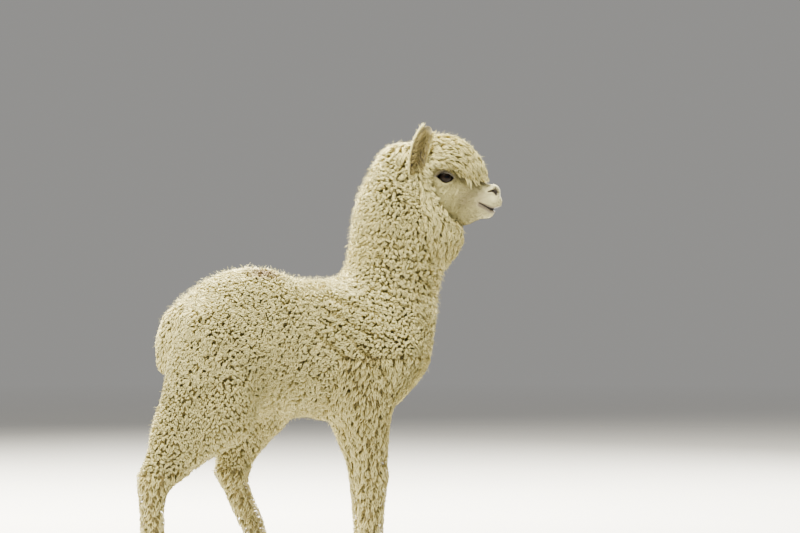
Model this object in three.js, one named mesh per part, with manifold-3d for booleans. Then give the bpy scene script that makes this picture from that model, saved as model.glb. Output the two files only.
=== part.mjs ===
// A life-size standing huacaya alpaca, as a still museum model, in millimetres.
// +X points along the trunk towards the chest, +Y to the animal's left, +Z up from the floor.
// The outer surface is the one through the tips of the fleece. The body is one smooth field of
// tapered limbs, which is turned into closed meshes and parted with thin flat cuts.

import * as THREE from "three";
import { mergeVertices } from "three/addons/utils/BufferGeometryUtils.js";
import Module from "manifold-3d";

const wasm = await Module();
wasm.setup();

// ---------------------------------------------------------------- driving sizes

const GAP = 0.5; // between neighbouring pieces
const HEAD_TURN = -22; // degrees about +Z: the head looks to the animal's right
const HEAD_ORIGIN = [346, -42, 1083]; // the poll, where the skull meets the neck
const EYE_CENTRE = [77, 46, 9]; // in the head's own frame, left eye
const EYE_RADIUS = 21;

const MESH_SIZE = {
  trunk: [54, 45, 45],
  neck: [38, 36, 46],
  face: [17, 14, 15],
  throat: [28, 26, 26],
  topknot: [25, 23, 22],
  muzzle: [14, 12, 12],
  upperLeg: [38, 33, 44],
  lowerLeg: [26, 24, 62],
  foot: [19, 16, 22],
  tail: [24, 26, 34],
};

const SIDES = { left: 1, right: -1 };

// Leg joints for each side, as x, y (out from the middle), z. The right hind leg trails, the left
// one is stepped forward under the belly, and the forelegs stand nearly level.
const HIND = {
  left: {
    hip: [-200, 72, 626],
    stifle: [-72, 98, 462],
    hock: [-158, 84, 280],
    calf: [-150, 90, 396],
    foot: [-78, 84],
  },
  right: {
    hip: [-240, 72, 628],
    stifle: [-250, 96, 446],
    hock: [-440, 86, 270],
    calf: [-394, 86, 388],
    foot: [-452, 86],
  },
};
const PIN = [-280, 80, 660]; // the point of the buttock
const FORE = {
  left: { shoulder: [232, 74, 600], elbow: [186, 90, 482], knee: [236, 82, 272], foot: [240, 82] },
  right: { shoulder: [232, 74, 600], elbow: [168, 90, 482], knee: [192, 82, 272], foot: [188, 82] },
};
const FETLOCK_HEIGHT = 74;
const TOE_SPREAD = 16; // each toe's middle from the middle of the foot
const TOE_REACH = 50; // the toes' tips ahead of the fetlock
const NAIL_LENGTH = 22;
const FOOT_ROOM = 95; // more than a foot's reach ahead of the fetlock and behind it

// Cuts that part the nodes: a point and the direction that is kept by the node further out.
const HEAD_CUT = { point: [-2, 0, -38], out: [0.87, 0, 0.49] }; // in the head's own frame
const TOPKNOT_CUT = { point: [75, 0, 38], out: [0.29, 0, 0.957] };
const FACE_CUT = { point: [26, 0, -30], out: [0.96, 0, 0.28] };
const MUZZLE_CUT = { point: [146, 0, -40], out: [0.97, 0, -0.24] };
const NECK_CUT = { point: [248, 0, 762], out: [0.4, 0, 0.917] };
const HIND_CUT = { point: [0, 26, 432], out: [0, 0.62, -0.785] };
const FORE_CUT = { point: [0, 26, 448], out: [0, 0.5, -0.866] };
const FLANK_LEVEL = 460;
const MIDWAY = 50; // along X, between the hind legs and the forelegs
const KNEE_CUT = 274;
const HOCK_CUT = 290;
const FOOT_CUT = 66;

const COLOURS = {
  fleece: 0xd8cdac,
  face: 0xcdbf9f,
  ear: 0xc9bb98,
  eye: 0x120d0b,
  nail: 0x4a4036,
};

// ---------------------------------------------------------------- the field

const { hypot, max, min, abs, cos, sin, PI } = Math;

/** Smooth union of fields, rounded over the width k. */
const blend = (k, ...fields) => (x, y, z) => {
  let d = fields[0](x, y, z);
  for (let i = 1; i < fields.length; i++) {
    const e = fields[i](x, y, z);
    const h = max(k - abs(d - e), 0) / k;
    d = min(d, e) - (h * h * k) / 4;
  }
  return d;
};

/** A cone with round ends, from a to b, each given as x, y, z, radius. */
function roundCone([ax, ay, az, ra], [bx, by, bz, rb]) {
  const [dx, dy, dz] = [bx - ax, by - ay, bz - az];
  const length2 = dx * dx + dy * dy + dz * dz;
  return (x, y, z) => {
    const along = ((x - ax) * dx + (y - ay) * dy + (z - az) * dz) / length2;
    const t = min(max(along, 0), 1);
    return hypot(x - ax - t * dx, y - ay - t * dy, z - az - t * dz) - (ra + t * (rb - ra));
  };
}

/** Round cones in a row through the given balls. */
function limb(balls, k = 16) {
  const cones = [];
  for (let i = 1; i < balls.length; i++) cones.push(roundCone(balls[i - 1], balls[i]));
  return blend(k, ...cones);
}

/** An ellipsoid with half-axes a, b and c. */
const ellipsoid = ([cx, cy, cz], [a, b, c]) => (x, y, z) => {
  const [u, v, w] = [x - cx, y - cy, z - cz];
  const near = hypot(u / a, v / b, w / c);
  const far = hypot(u / (a * a), v / (b * b), w / (c * c));
  return far === 0 ? -min(a, b, c) : (near * (near - 1)) / far;
};

/** A field made narrower across the plane y = middle. */
const narrowed = (field, share, middle = 0) => (x, y, z) =>
  field(x, middle + (y - middle) / share, z) * share;

/** A field that is the same on both sides of y = 0. */
const mirrored = (field) => (x, y, z) => field(x, abs(y), z);

/** The first field with the second one hollowed out of it, with a rounded edge of width k. */
const hollowed = (k, field, hole) => (x, y, z) => {
  const [d, e] = [field(x, y, z), -hole(x, y, z)];
  const h = max(k - abs(d - e), 0) / k;
  return max(d, e) + (h * h * k) / 4;
};

// ---------------------------------------------------------------- the body

const barrel = narrowed(
  limb([
    [-190, 0, 652, 174],
    [-120, 0, 650, 182],
    [-30, 0, 618, 178],
    [110, 0, 612, 188],
    [200, 0, 622, 178],
    [250, 0, 648, 148],
  ], 40),
  0.95,
);
const croup = ellipsoid([-146, 0, 730], [90, 82, 98]); // stands a little above the loin
const trunk = blend(46, barrel, croup);

const lowerNeck = narrowed(
  limb([
    [232, 0, 640, 146],
    [270, 0, 740, 136],
    [296, -4, 850, 131],
    [316, -18, 950, 128],
  ], 30),
  0.9,
);
const nape = narrowed(
  limb([
    [300, -20, 935, 133],
    [306, -28, 1012, 127],
    [309, -34, 1088, 101],
  ], 20),
  0.8,
  -28,
);
const neck = blend(40, lowerNeck, nape);

const tail = narrowed(
  limb([
    [-316, 0, 722, 36],
    [-350, 0, 690, 40],
    [-370, 0, 640, 38],
    [-380, 0, 576, 28],
  ], 12),
  1.15,
);

function hindLeg(side) {
  const { hip, stifle, hock, calf, foot } = HIND[side];
  const s = SIDES[side];
  const ball = ([x, y, z], r) => [x, s * y, z, r];
  const heel = [hock[0] - 14, hock[1], hock[2] + 4];
  return blend(
    26,
    limb([ball(hip, 122), ball(stifle, 84), ball(hock, 42)], 50),
    limb([ball(PIN, 94), ball(calf, 62), ball(heel, 33)], 20),
    limb([ball(heel, 35), ball([foot[0], foot[1], FETLOCK_HEIGHT], 34)], 10),
  );
}

function foreLeg(side) {
  const { shoulder, elbow, knee, foot } = FORE[side];
  const s = SIDES[side];
  const ball = ([x, y, z], r) => [x, s * y, z, r];
  return limb([
    ball(shoulder, 108),
    ball(elbow, 76),
    ball(knee, 43),
    ball([foot[0], foot[1], FETLOCK_HEIGHT], 34),
  ], 22);
}

/** Both toes of one foot, with their pads. The fetlock is above x, y. */
function foot([x, y], s) {
  const toe = (side) =>
    limb([
      [x - 4, s * y + side * 10, FETLOCK_HEIGHT - 16, 26],
      [x + 8, s * y + side * (TOE_SPREAD - 2), 17, 21],
      [x + TOE_REACH - 15, s * y + side * (TOE_SPREAD + 1), 10, 15],
    ], 8);
  return blend(4, toe(1), toe(-1));
}

// ---------------------------------------------------------------- the head, in its own frame

const cranium = ellipsoid([38, 0, 8], [82, 66, 78]);
const topknot = blend(
  20,
  ellipsoid([68, 0, 50], [96, 82, 79]),
  ellipsoid([124, 0, 22], [68, 62, 62]), // the forelock, over the forehead
);
const noseBridge = narrowed(limb([[112, 0, -28, 56], [206, 0, -37, 24]], 8), 0.92);
const jaw = narrowed(limb([[62, 0, -62, 62], [128, 0, -84, 38], [190, 0, -87, 19]], 16), 0.94);

const muzzle = mirrored(
  blend(
    9,
    ellipsoid([213, 0, -32], [17, 21, 15]), // the nose's tip
    ellipsoid([213, 11, -58], [25, 20, 21]), // the split upper lip
    ellipsoid([196, 0, -86], [20, 20, 17]), // the lower lip and chin
    ellipsoid([170, 12, -62], [40, 26, 36]),
  ),
);

const cheek = mirrored(ellipsoid([76, 22, -40], [62, 38, 54]));
const brow = mirrored(ellipsoid([74, 40, 14], [30, 22, 22]));
const ruff = narrowed(limb([[30, 0, -120, 92], [53, 0, -152, 79]], 20), 0.9);
const eyeHollow = mirrored(ellipsoid([79, 97, 8], [40, 43, 21])); // bare of wool, round the eye

const faceForm = blend(18, cranium, noseBridge, jaw, cheek);
const headForm = hollowed(
  12,
  blend(14, blend(12, faceForm, topknot), muzzle, brow),
  eyeHollow,
);

// ---------------------------------------------------------------- frames

const turn = (HEAD_TURN * PI) / 180;

/** Takes a field given in the head's own frame into the body's frame. */
const inBody = (field) => (x, y, z) => {
  const [dx, dy] = [x - HEAD_ORIGIN[0], y - HEAD_ORIGIN[1]];
  const along = dx * cos(turn) + dy * sin(turn);
  return field(along, dy * cos(turn) - dx * sin(turn), z - HEAD_ORIGIN[2]);
};

const headMatrix = new THREE.Matrix4()
  .makeRotationZ(turn)
  .setPosition(...HEAD_ORIGIN);

/** A point or a direction of the head's own frame, in the body's frame. */
function headPoint(p) {
  return new THREE.Vector3(...p).applyMatrix4(headMatrix).toArray();
}
function headDirection(v) {
  return new THREE.Vector3(...v).transformDirection(headMatrix).toArray();
}

const legs = Object.entries(SIDES).flatMap(([side, s]) => [
  blend(10, hindLeg(side), foot(HIND[side].foot, s)),
  blend(10, foreLeg(side), foot(FORE[side].foot, s)),
]);

const upperBody = blend(34, trunk, neck, inBody(ruff));
const body = blend(26, blend(14, upperBody, inBody(headForm)), ...legs);

// ---------------------------------------------------------------- fields to meshes

/** A closed mesh of where the field is below level, on a grid with the given cell sizes. */
function polygonize(field, box, cell, level = 0) {
  const low = box.min.toArray();
  const [nx, ny, nz] = box.max.toArray().map((c, a) => Math.ceil((c - low[a]) / cell[a]) + 1);
  const at = (i, j, k) => i + nx * (j + ny * k);
  const place = (i, j, k) => [i, j, k].map((n, a) => low[a] + n * cell[a]);
  const values = new Float64Array(nx * ny * nz);
  for (let k = 0; k < nz; k++)
    for (let j = 0; j < ny; j++)
      for (let i = 0; i < nx; i++) values[at(i, j, k)] = field(...place(i, j, k)) - level;

  const points = [];
  const vertexOf = new Map();
  for (let k = 0; k < nz - 1; k++)
    for (let j = 0; j < ny - 1; j++)
      for (let i = 0; i < nx - 1; i++) {
        const v = CORNERS.map(([a, b, c]) => values[at(i + a, j + b, k + c)]);
        const [u, w, h] = crossingsMiddle(v) ?? [];
        if (u === undefined) continue;
        vertexOf.set(at(i, j, k), points.length / 3);
        points.push(...settled(field, level, cell, place(i + u, j + w, k + h)));
      }

  const triangles = [];
  const strides = [1, nx, nx * ny];
  for (let k = 1; k < nz - 1; k++)
    for (let j = 1; j < ny - 1; j++)
      for (let i = 1; i < nx - 1; i++) {
        const here = at(i, j, k);
        for (let a = 0; a < 3; a++) {
          const inside = values[here] < 0;
          if (inside === values[here + strides[a]] < 0) continue;
          const [u, w] = [strides[(a + 1) % 3], strides[(a + 2) % 3]];
          const ring = [here, here - u, here - u - w, here - w].map((c) => vertexOf.get(c));
          if (!inside) ring.reverse();
          triangles.push(ring[0], ring[1], ring[2], ring[0], ring[2], ring[3]);
        }
      }
  return solid(points, triangles);
}

const CORNERS = [0, 1, 2, 3, 4, 5, 6, 7].map((c) => [c & 1, (c >> 1) & 1, (c >> 2) & 1]);
const EDGES = [0, 1, 2, 3, 4, 5, 6, 7].flatMap((a) =>
  [1, 2, 4].filter((bit) => !(a & bit)).map((bit) => [a, a | bit]),
);

/** The middle of the places where the surface crosses a cell's edges, or null if it doesn't. */
function crossingsMiddle(v) {
  const crossings = EDGES.filter(([a, b]) => v[a] < 0 !== v[b] < 0);
  if (!crossings.length) return null;
  const sum = [0, 0, 0];
  for (const [a, b] of crossings) {
    const t = v[a] / (v[a] - v[b]);
    for (let n = 0; n < 3; n++) sum[n] += CORNERS[a][n] + t * (CORNERS[b][n] - CORNERS[a][n]);
  }
  return sum.map((c) => c / crossings.length);
}

/** Moves a grid vertex onto the surface, by at most a third of a cell. */
function settled(field, level, cell, p) {
  const step = cell[0] / 50;
  const reach = min(...cell) / 3;
  const d = field(...p) - level;
  const slope = [0, 1, 2].map((a) => {
    const q = [...p];
    q[a] += step;
    return (field(...q) - level - d) / step;
  });
  const steep = max(hypot(...slope), 0.3);
  const move = min(max(-d / steep, -reach), reach);
  return p.map((c, a) => c + (move * slope[a]) / steep);
}

function solid(points, triangles) {
  return new wasm.Manifold(
    new wasm.Mesh({
      numProp: 3,
      vertProperties: new Float32Array(points),
      triVerts: new Uint32Array(triangles),
    }),
  );
}

/** A three.js geometry as a solid. */
function solidOf(geometry) {
  const bare = geometry.clone();
  bare.deleteAttribute("normal");
  bare.deleteAttribute("uv");
  const merged = mergeVertices(bare, 1e-3);
  return solid(merged.attributes.position.array, merged.index.array);
}

/** A solid as a three.js geometry. */
function geometryOf(made) {
  const mesh = made.getMesh();
  const places = new Float32Array(mesh.numVert * 3);
  for (let i = 0; i < mesh.numVert; i++)
    places.set(mesh.vertProperties.subarray(i * mesh.numProp, i * mesh.numProp + 3), i * 3);
  const geometry = new THREE.BufferGeometry();
  geometry.setAttribute("position", new THREE.BufferAttribute(places, 3));
  geometry.setIndex(new THREE.BufferAttribute(mesh.triVerts, 1));
  geometry.computeVertexNormals();
  return geometry;
}

const HALF_SPACE = 3000;

/** Everything on the side of a plane that out points to, from the given distance on. */
function beyond({ point, out }, distance = GAP / 2) {
  const normal = new THREE.Vector3(...out).normalize();
  const block = new THREE.BoxGeometry(HALF_SPACE, HALF_SPACE, HALF_SPACE);
  block.translate(0, 0, HALF_SPACE / 2 + distance);
  block.applyQuaternion(
    new THREE.Quaternion().setFromUnitVectors(new THREE.Vector3(0, 0, 1), normal),
  );
  block.translate(...point);
  return solidOf(block);
}

const flipped = ({ point, out }) => ({ point, out: out.map((c) => -c) });
const above = (z) => ({ point: [0, 0, z], out: [0, 0, 1] });
const below = (z) => flipped(above(z));
const FLOOR = { point: [0, 0, -GAP / 2], out: [0, 0, 1] };

/** The part of the solid that lies beyond all the cuts, as its largest single piece. */
function parted(made, cuts) {
  let left = made;
  for (const cut of cuts) left = left.intersect(beyond(cut));
  return left.decompose().sort((a, b) => b.volume() - a.volume())[0];
}

const boxAround = (low, high) =>
  new THREE.Box3(new THREE.Vector3(...low), new THREE.Vector3(...high));

/** The field closed by a box, and turned into a solid on the given mesh size. */
function bodyIn([low, high], size, level = 0, field = body) {
  const closed = (x, y, z) =>
    max(
      field(x, y, z) - level,
      low[0] - x, x - high[0],
      low[1] - y, y - high[1],
      low[2] - z, z - high[2],
    );
  const margin = new THREE.Vector3(...size).multiplyScalar(2);
  return polygonize(closed, boxAround(low, high).expandByVector(margin), size);
}

// ---------------------------------------------------------------- ears, eyes and nails

/** One ear: a cupped leaf that stands on the side of the head, open outwards and forwards. */
function earGeometry(s) {
  const spine = new THREE.CatmullRomCurve3(
    [[4, 60, -18], [-2, 78, 20], [4, 89, 74], [18, 88, 117], [34, 80, 149]].map(
      ([x, y, z]) => new THREE.Vector3(x, s * y, z),
    ),
  );
  const [rows, columns, thickness] = [10, 6, 4.2];
  const opening = new THREE.Vector3(0.42, s * 0.9, 0).normalize();
  const halfWidth = (t) => 2 + 22 * sin(PI * (0.12 + 0.88 * t ** 1.2)) ** 0.62;
  const cup = (t) => 15 * (1 - 0.75 * t);
  const points = [];
  for (const skin of [0, 1])
    for (let i = 0; i <= rows; i++) {
      const t = i / rows;
      const middle = spine.getPoint(t);
      const up = spine.getTangent(t);
      const across = new THREE.Vector3().crossVectors(up, opening).normalize();
      const outward = new THREE.Vector3().crossVectors(across, up).normalize();
      for (let j = 0; j <= columns; j++) {
        const a = (2 * j) / columns - 1;
        const p = middle.clone().addScaledVector(across, a * halfWidth(t));
        const depth = -cup(t) * (1 - a * a) - skin * thickness * (1 - 0.55 * a * a);
        points.push(...p.addScaledVector(outward, depth).toArray());
      }
    }
  const at = (skin, i, j) => skin * (rows + 1) * (columns + 1) + i * (columns + 1) + j;
  const triangles = [];
  const quad = (a, b, c, d) => triangles.push(a, b, c, a, c, d);
  for (let i = 0; i < rows; i++)
    for (let j = 0; j < columns; j++) {
      quad(at(0, i, j), at(0, i, j + 1), at(0, i + 1, j + 1), at(0, i + 1, j));
      quad(at(1, i, j), at(1, i + 1, j), at(1, i + 1, j + 1), at(1, i, j + 1));
    }
  for (let i = 0; i < rows; i++) {
    quad(at(0, i, 0), at(0, i + 1, 0), at(1, i + 1, 0), at(1, i, 0));
    quad(at(0, i + 1, columns), at(0, i, columns), at(1, i, columns), at(1, i + 1, columns));
  }
  for (let j = 0; j < columns; j++) {
    quad(at(0, 0, j + 1), at(0, 0, j), at(1, 0, j), at(1, 0, j + 1));
    quad(at(0, rows, j), at(0, rows, j + 1), at(1, rows, j + 1), at(1, rows, j));
  }
  const geometry = new THREE.BufferGeometry();
  geometry.setAttribute("position", new THREE.Float32BufferAttribute(points, 3));
  geometry.setIndex(triangles);
  return geometry.applyMatrix4(headMatrix);
}

/** The eyeball, a ball larger than the true one by extra. */
function eyeGeometry(s, extra = 0) {
  const ball = new THREE.SphereGeometry(EYE_RADIUS + extra, 12, 8);
  ball.rotateX(PI / 2);
  const [x, y, z] = EYE_CENTRE;
  return ball.translate(x, s * y, z).applyMatrix4(headMatrix);
}

/** A toenail: a pointed cap over the tip of one toe, larger than the true one by extra. */
function nailGeometry([x, y], s, side, extra = 0) {
  const tip = new THREE.ConeGeometry(9.5 + extra, NAIL_LENGTH + 2.6 * extra, 10, 1);
  tip.rotateZ(-PI / 2);
  tip.scale(1, 0.85, 1.05);
  tip.rotateY(0.42);
  return tip.translate(
    x + TOE_REACH + 1,
    s * y + side * (TOE_SPREAD + 2),
    12.5,
  );
}

// ---------------------------------------------------------------- the nodes

const root = new THREE.Group();
const solids = {};

const materials = Object.fromEntries(
  Object.entries(COLOURS).map(([name, color]) => [
    name,
    new THREE.MeshStandardMaterial({
      color,
      roughness: name === "eye" ? 0.15 : name === "nail" ? 0.5 : 0.95,
      metalness: 0,
    }),
  ]),
);

function add(name, made, material) {
  solids[name] = made;
  const mesh = new THREE.Mesh(geometryOf(made), materials[material]);
  mesh.name = name;
  root.add(mesh);
}

const inHeadFrame = ({ point, out }) => ({ point: headPoint(point), out: headDirection(out) });
const headCut = inHeadFrame(HEAD_CUT);
const topknotCut = inHeadFrame(TOPKNOT_CUT);
const faceCut = inHeadFrame(FACE_CUT);
const muzzleCut = inHeadFrame(MUZZLE_CUT);
const onSide = ({ point: [x, y, z], out: [a, b, c] }, s) => ({
  point: [x, s * y, z],
  out: [a, s * b, c],
});

/** The upright cut between a leg and the belly, on the belly's side of the leg. */
const flankCut = (x, ahead) => ({ point: [x, 0, FLANK_LEVEL], out: [0.94 * ahead, 0, -0.34] });

const LEG_KINDS = {
  hind: {
    names: ["thigh", "hind_shank", "hind_foot"],
    joints: HIND,
    trunkCut: HIND_CUT,
    flank: (side) => flankCut(HIND[side].stifle[0] + 98, -1),
    half: { point: [MIDWAY, 0, 0], out: [-1, 0, 0] },
    kneeCut: HOCK_CUT,
  },
  fore: {
    names: ["upper_foreleg", "fore_shank", "fore_foot"],
    joints: FORE,
    trunkCut: FORE_CUT,
    flank: (side) => flankCut(FORE[side].elbow[0] - 92, 1),
    half: { point: [MIDWAY, 0, 0], out: [1, 0, 0] },
    kneeCut: KNEE_CUT,
  },
};

const REGIONS = {
  head: [[180, -330, 850], [640, 160, 1300]],
  neck: [[60, -280, 560], [560, 260, 1290]],
  trunk: [[-500, -300, 330], [520, 300, 980]],
  tail: [[-520, -110, 500], [-270, 110, 820]],
};

function makeHead() {
  const piece = (size, cuts) => parted(bodyIn(REGIONS.head, size), [headCut, ...cuts]);
  const clearance = bodyIn(REGIONS.head, MESH_SIZE.topknot, GAP + 1.5);
  let face = piece(MESH_SIZE.face, [flipped(topknotCut), faceCut, flipped(muzzleCut)]);
  for (const [side, s] of Object.entries(SIDES)) {
    face = face.subtract(solidOf(eyeGeometry(s, GAP)));
    add(`eye_${side}`, solidOf(eyeGeometry(s)), "eye");
    add(`ear_${side}`, parted(solidOf(earGeometry(s)).subtract(clearance), []), "ear");
  }
  add("face", parted(face, []), "face");
  add("throat", piece(MESH_SIZE.throat, [flipped(topknotCut), flipped(faceCut)]), "fleece");
  add("topknot", piece(MESH_SIZE.topknot, [topknotCut]), "fleece");
  add("muzzle", piece(MESH_SIZE.muzzle, [flipped(topknotCut), muzzleCut]), "face");
}

function makeNeck() {
  const whole = bodyIn(REGIONS.neck, MESH_SIZE.neck);
  add("neck", parted(whole, [flipped(headCut), NECK_CUT]), "fleece");
}

/** The trunk is what is left when each leg's wedge is taken from under it. */
function makeTrunk() {
  let trunkSolid = parted(bodyIn(REGIONS.trunk, MESH_SIZE.trunk), [flipped(NECK_CUT)]);
  for (const [side, s] of Object.entries(SIDES)) {
    for (const { trunkCut, flank } of Object.values(LEG_KINDS)) {
      const wedge = beyond(onSide(trunkCut, s), -GAP / 2);
      trunkSolid = trunkSolid.subtract(wedge.intersect(beyond(flank(side), -GAP / 2)));
    }
  }
  add("trunk", parted(trunkSolid, []), "fleece");
}

function makeTail() {
  const clearance = bodyIn(REGIONS.trunk, MESH_SIZE.trunk, GAP + 2.5);
  const tailSolid = bodyIn(REGIONS.tail, MESH_SIZE.tail, 0, tail);
  add("tail", parted(tailSolid.subtract(clearance), []), "fleece");
}

/** One leg from its cut in the flank to the floor, in three pieces, with its two toenails. */
function makeLeg(side, { names, joints, trunkCut, flank, half, kneeCut }) {
  const s = SIDES[side];
  const legSide = { point: [0, 0, 0], out: [0, s, 0] };
  const [nearY, farY] = s > 0 ? [-40, 300] : [-300, 40];
  const slice = (z0, z1, size, cuts, [x0, x1] = [-620, 520]) =>
    parted(bodyIn([[x0, nearY, z0], [x1, farY, z1]], size), [legSide, ...cuts]);

  const upperCuts = [onSide(trunkCut, s), flank(side), above(kneeCut)];
  add(`${names[0]}_${side}`, slice(kneeCut - 30, 600, MESH_SIZE.upperLeg, upperCuts), "fleece");

  const lowerCuts = [half, below(kneeCut), above(FOOT_CUT)];
  const lower = slice(FOOT_CUT - 30, kneeCut + 30, MESH_SIZE.lowerLeg, lowerCuts);
  add(`${names[1]}_${side}`, lower, "fleece");

  const [footX] = joints[side].foot;
  const footRange = [footX - FOOT_ROOM, footX + FOOT_ROOM];
  let pad = slice(-30, FOOT_CUT + 30, MESH_SIZE.foot, [below(FOOT_CUT), FLOOR], footRange);
  for (const [toe, t] of [["inner", -s], ["outer", s]]) {
    pad = pad.subtract(solidOf(nailGeometry(joints[side].foot, s, t, GAP)));
    add(`${names[2]}_nail_${toe}_${side}`, solidOf(nailGeometry(joints[side].foot, s, t)), "nail");
  }
  add(`${names[2]}_${side}`, parted(pad, []), "face");
}

/** Moves everything so that the origin is under the middle of the model, at floor level. */
function centre(group) {
  const box = new THREE.Box3().setFromObject(group);
  const middle = box.getCenter(new THREE.Vector3());
  for (const mesh of group.children) {
    mesh.geometry.translate(-middle.x, -middle.y, -box.min.z);
  }
}

makeHead();
makeNeck();
makeTrunk();
makeTail();
for (const side of Object.keys(SIDES)) {
  for (const kind of Object.values(LEG_KINDS)) makeLeg(side, kind);
}
centre(root);

export default root;
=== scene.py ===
"""A life-size standing alpaca: one skin, a coat of crimped locks, ears, eyes, lashes and toenails."""

import math
from contextlib import contextmanager

import bmesh
import bpy
import numpy as np
from bpy.props import FloatProperty, FloatVectorProperty, IntProperty, PointerProperty
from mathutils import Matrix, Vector
from mathutils.bvhtree import BVHTree
from mathutils.kdtree import KDTree


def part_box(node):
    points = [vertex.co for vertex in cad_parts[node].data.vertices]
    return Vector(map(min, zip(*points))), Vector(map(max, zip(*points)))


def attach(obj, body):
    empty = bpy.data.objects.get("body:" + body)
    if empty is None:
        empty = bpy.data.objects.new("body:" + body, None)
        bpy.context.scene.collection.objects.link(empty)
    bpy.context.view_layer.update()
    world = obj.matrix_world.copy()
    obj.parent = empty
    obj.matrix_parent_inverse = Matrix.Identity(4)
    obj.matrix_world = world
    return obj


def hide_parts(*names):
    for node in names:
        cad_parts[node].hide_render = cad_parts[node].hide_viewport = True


bl_info = {
    "name": "Alpaca Maker",
    "version": (1, 0, 0),
    "blender": (4, 5, 0),
    "location": "3D View > Sidebar > Alpaca",
    "description": "Makes a woolly standing alpaca over its packed model",
    "category": "Add Mesh",
}

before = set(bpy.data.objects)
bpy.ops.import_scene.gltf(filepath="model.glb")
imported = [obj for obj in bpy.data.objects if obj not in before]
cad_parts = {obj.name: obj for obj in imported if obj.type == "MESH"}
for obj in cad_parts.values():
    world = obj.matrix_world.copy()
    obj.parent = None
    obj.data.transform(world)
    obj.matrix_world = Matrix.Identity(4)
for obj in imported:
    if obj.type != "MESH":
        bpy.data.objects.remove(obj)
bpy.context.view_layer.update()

BODY = "root"
SIDES = {"left": 1, "right": -1}
SKIN_NAME = "alpaca_skin"
FLESH = [n for n in sorted(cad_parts) if not n.startswith(("eye", "ear")) and "nail" not in n]
IS_FOOT = np.array(["foot" in name for name in FLESH])

TURN = 2 * math.pi
LEFT = np.array([0.0, 1.0, 0.0])
UP = np.array([0.0, 0.0, 1.0])
DOWN = -UP
BACK = np.array([-1.0, 0.0, 0.0])
SIDE_VIEW = [0, 2]  # the axes ahead and up

# ------------------------------------------------------------------ settings


def length(name, default, description, low=0.0, high=1.0):
    return FloatProperty(
        name=name, default=default, description=description, min=low, max=high, unit="LENGTH", precision=4
    )


def watts(name, default, description):
    return FloatProperty(name=name, default=default, description=description, min=0.0, unit="POWER")


def colour(name, default, description):
    return FloatVectorProperty(
        name=name, default=default, description=description, size=3, min=0.0, max=1.0, subtype="COLOR"
    )


class SkinSettings(bpy.types.PropertyGroup):
    voxel: length("Mesh size", 0.0094, "Size of the skin's mesh where wool hides it", 0.004, 0.02)
    neck_depth: length("Neck fleece", 0.024, "Depth of the fleece on the neck")
    trunk_depth: length("Trunk fleece", 0.022, "Depth of the fleece on the trunk")
    topknot_depth: length("Topknot fleece", 0.026, "Depth of the wool on top of the head")
    leg_depth: length("Leg fleece", 0.013, "Depth of the fleece on the legs")
    foot_depth: length("Foot hair", 0.002, "Depth of the hair on the feet")
    face_depth: length("Face hair", 0.002, "Depth of the short hair on the face")
    face_colour: colour("Face", (0.37, 0.33, 0.145), "Short hair on the cheeks and nose")
    nose_colour: colour("Nose", (0.41, 0.375, 0.20), "Paler short hair of the muzzle")
    # Lips: the lower lip's own dark skin, and painted shade round the nostrils and the lids.
    lip_colour: colour("Lips", (0.10, 0.078, 0.058), "Thin skin of the lips and round the nostrils")
    # Lids: the upper lid's own grey hair, darkened as painted shade of the crease above the eye.
    lid_colour: colour("Lids", (0.27, 0.24, 0.19), "Thin grey hair of the upper lids")
    # Speckle: real brownish flecks beside the nose; in the short hair it is also painted shade round the
    # eyes.
    speckle_and_shade_colour: colour("Speckle", (0.27, 0.22, 0.14), "Brownish flecks beside the nose")
    # Openings: near-black painted shade inside the mouth and the nostrils and at the lid edges round the
    # eyes.
    dark_colour: colour("Openings", (0.022, 0.016, 0.012), "Inside of the nostrils, mouth and lids")
    # Wool floor: skin under the fleece painted dark, as shade in the cracks between locks.
    wool_floor_colour: colour("Wool floor", (0.30, 0.235, 0.09), "Skin under the fleece")


class FleeceSettings(bpy.types.PropertyGroup):
    spacing: length("Staple spacing", 0.0095, "Distance between staples of fleece", 0.005, 0.05)
    strand_radius: length("Strand radius", 0.0021, "Half the width of a strand", 0.0005, 0.02)
    crimp: length("Crimp", 0.0016, "How far a strand waves to either side", 0.0, 0.02)
    tip_colour: colour("Tips", (0.86, 0.80, 0.43), "Sun-bleached ends of the fleece")
    middle_colour: colour("Middle", (0.59, 0.505, 0.195), "Fleece below its ends")
    # Roots: fleece near the skin painted darker, as shade in the cracks between locks.
    root_colour: colour("Roots", (0.22, 0.16, 0.055), "Dusty fleece close to the skin")
    stain_colour: colour("Stain", (0.13, 0.075, 0.045), "Brown stain on top of the croup")
    wisp_spacing: length("Wisp spacing", 0.0086, "Distance between fine hairs that stand out", 0.005, 0.1)
    short_spacing: length("Short hair spacing", 0.0034, "Distance between hairs of the face", 0.002, 0.02)
    seed: IntProperty(name="Seed", default=7, description="Order of the scattered locks")


class HeadSettings(bpy.types.PropertyGroup):
    eye_colour: colour("Iris", (0.0075, 0.0045, 0.003), "Dark brown of the iris")
    pupil_colour: colour("Pupil", (0.002, 0.002, 0.003), "Long pupil")
    ear_colour: colour("Ear", (0.62, 0.55, 0.34), "Short hair outside the ears")
    ear_inside_colour: colour("Inside of the ear", (0.10, 0.08, 0.045), "Shaded skin inside the ears")
    lash_colour: colour("Lashes", (0.16, 0.14, 0.12), "Long upper lashes")
    nail_colour: colour("Toenails", (0.085, 0.065, 0.045), "Dark worn horn")


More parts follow.
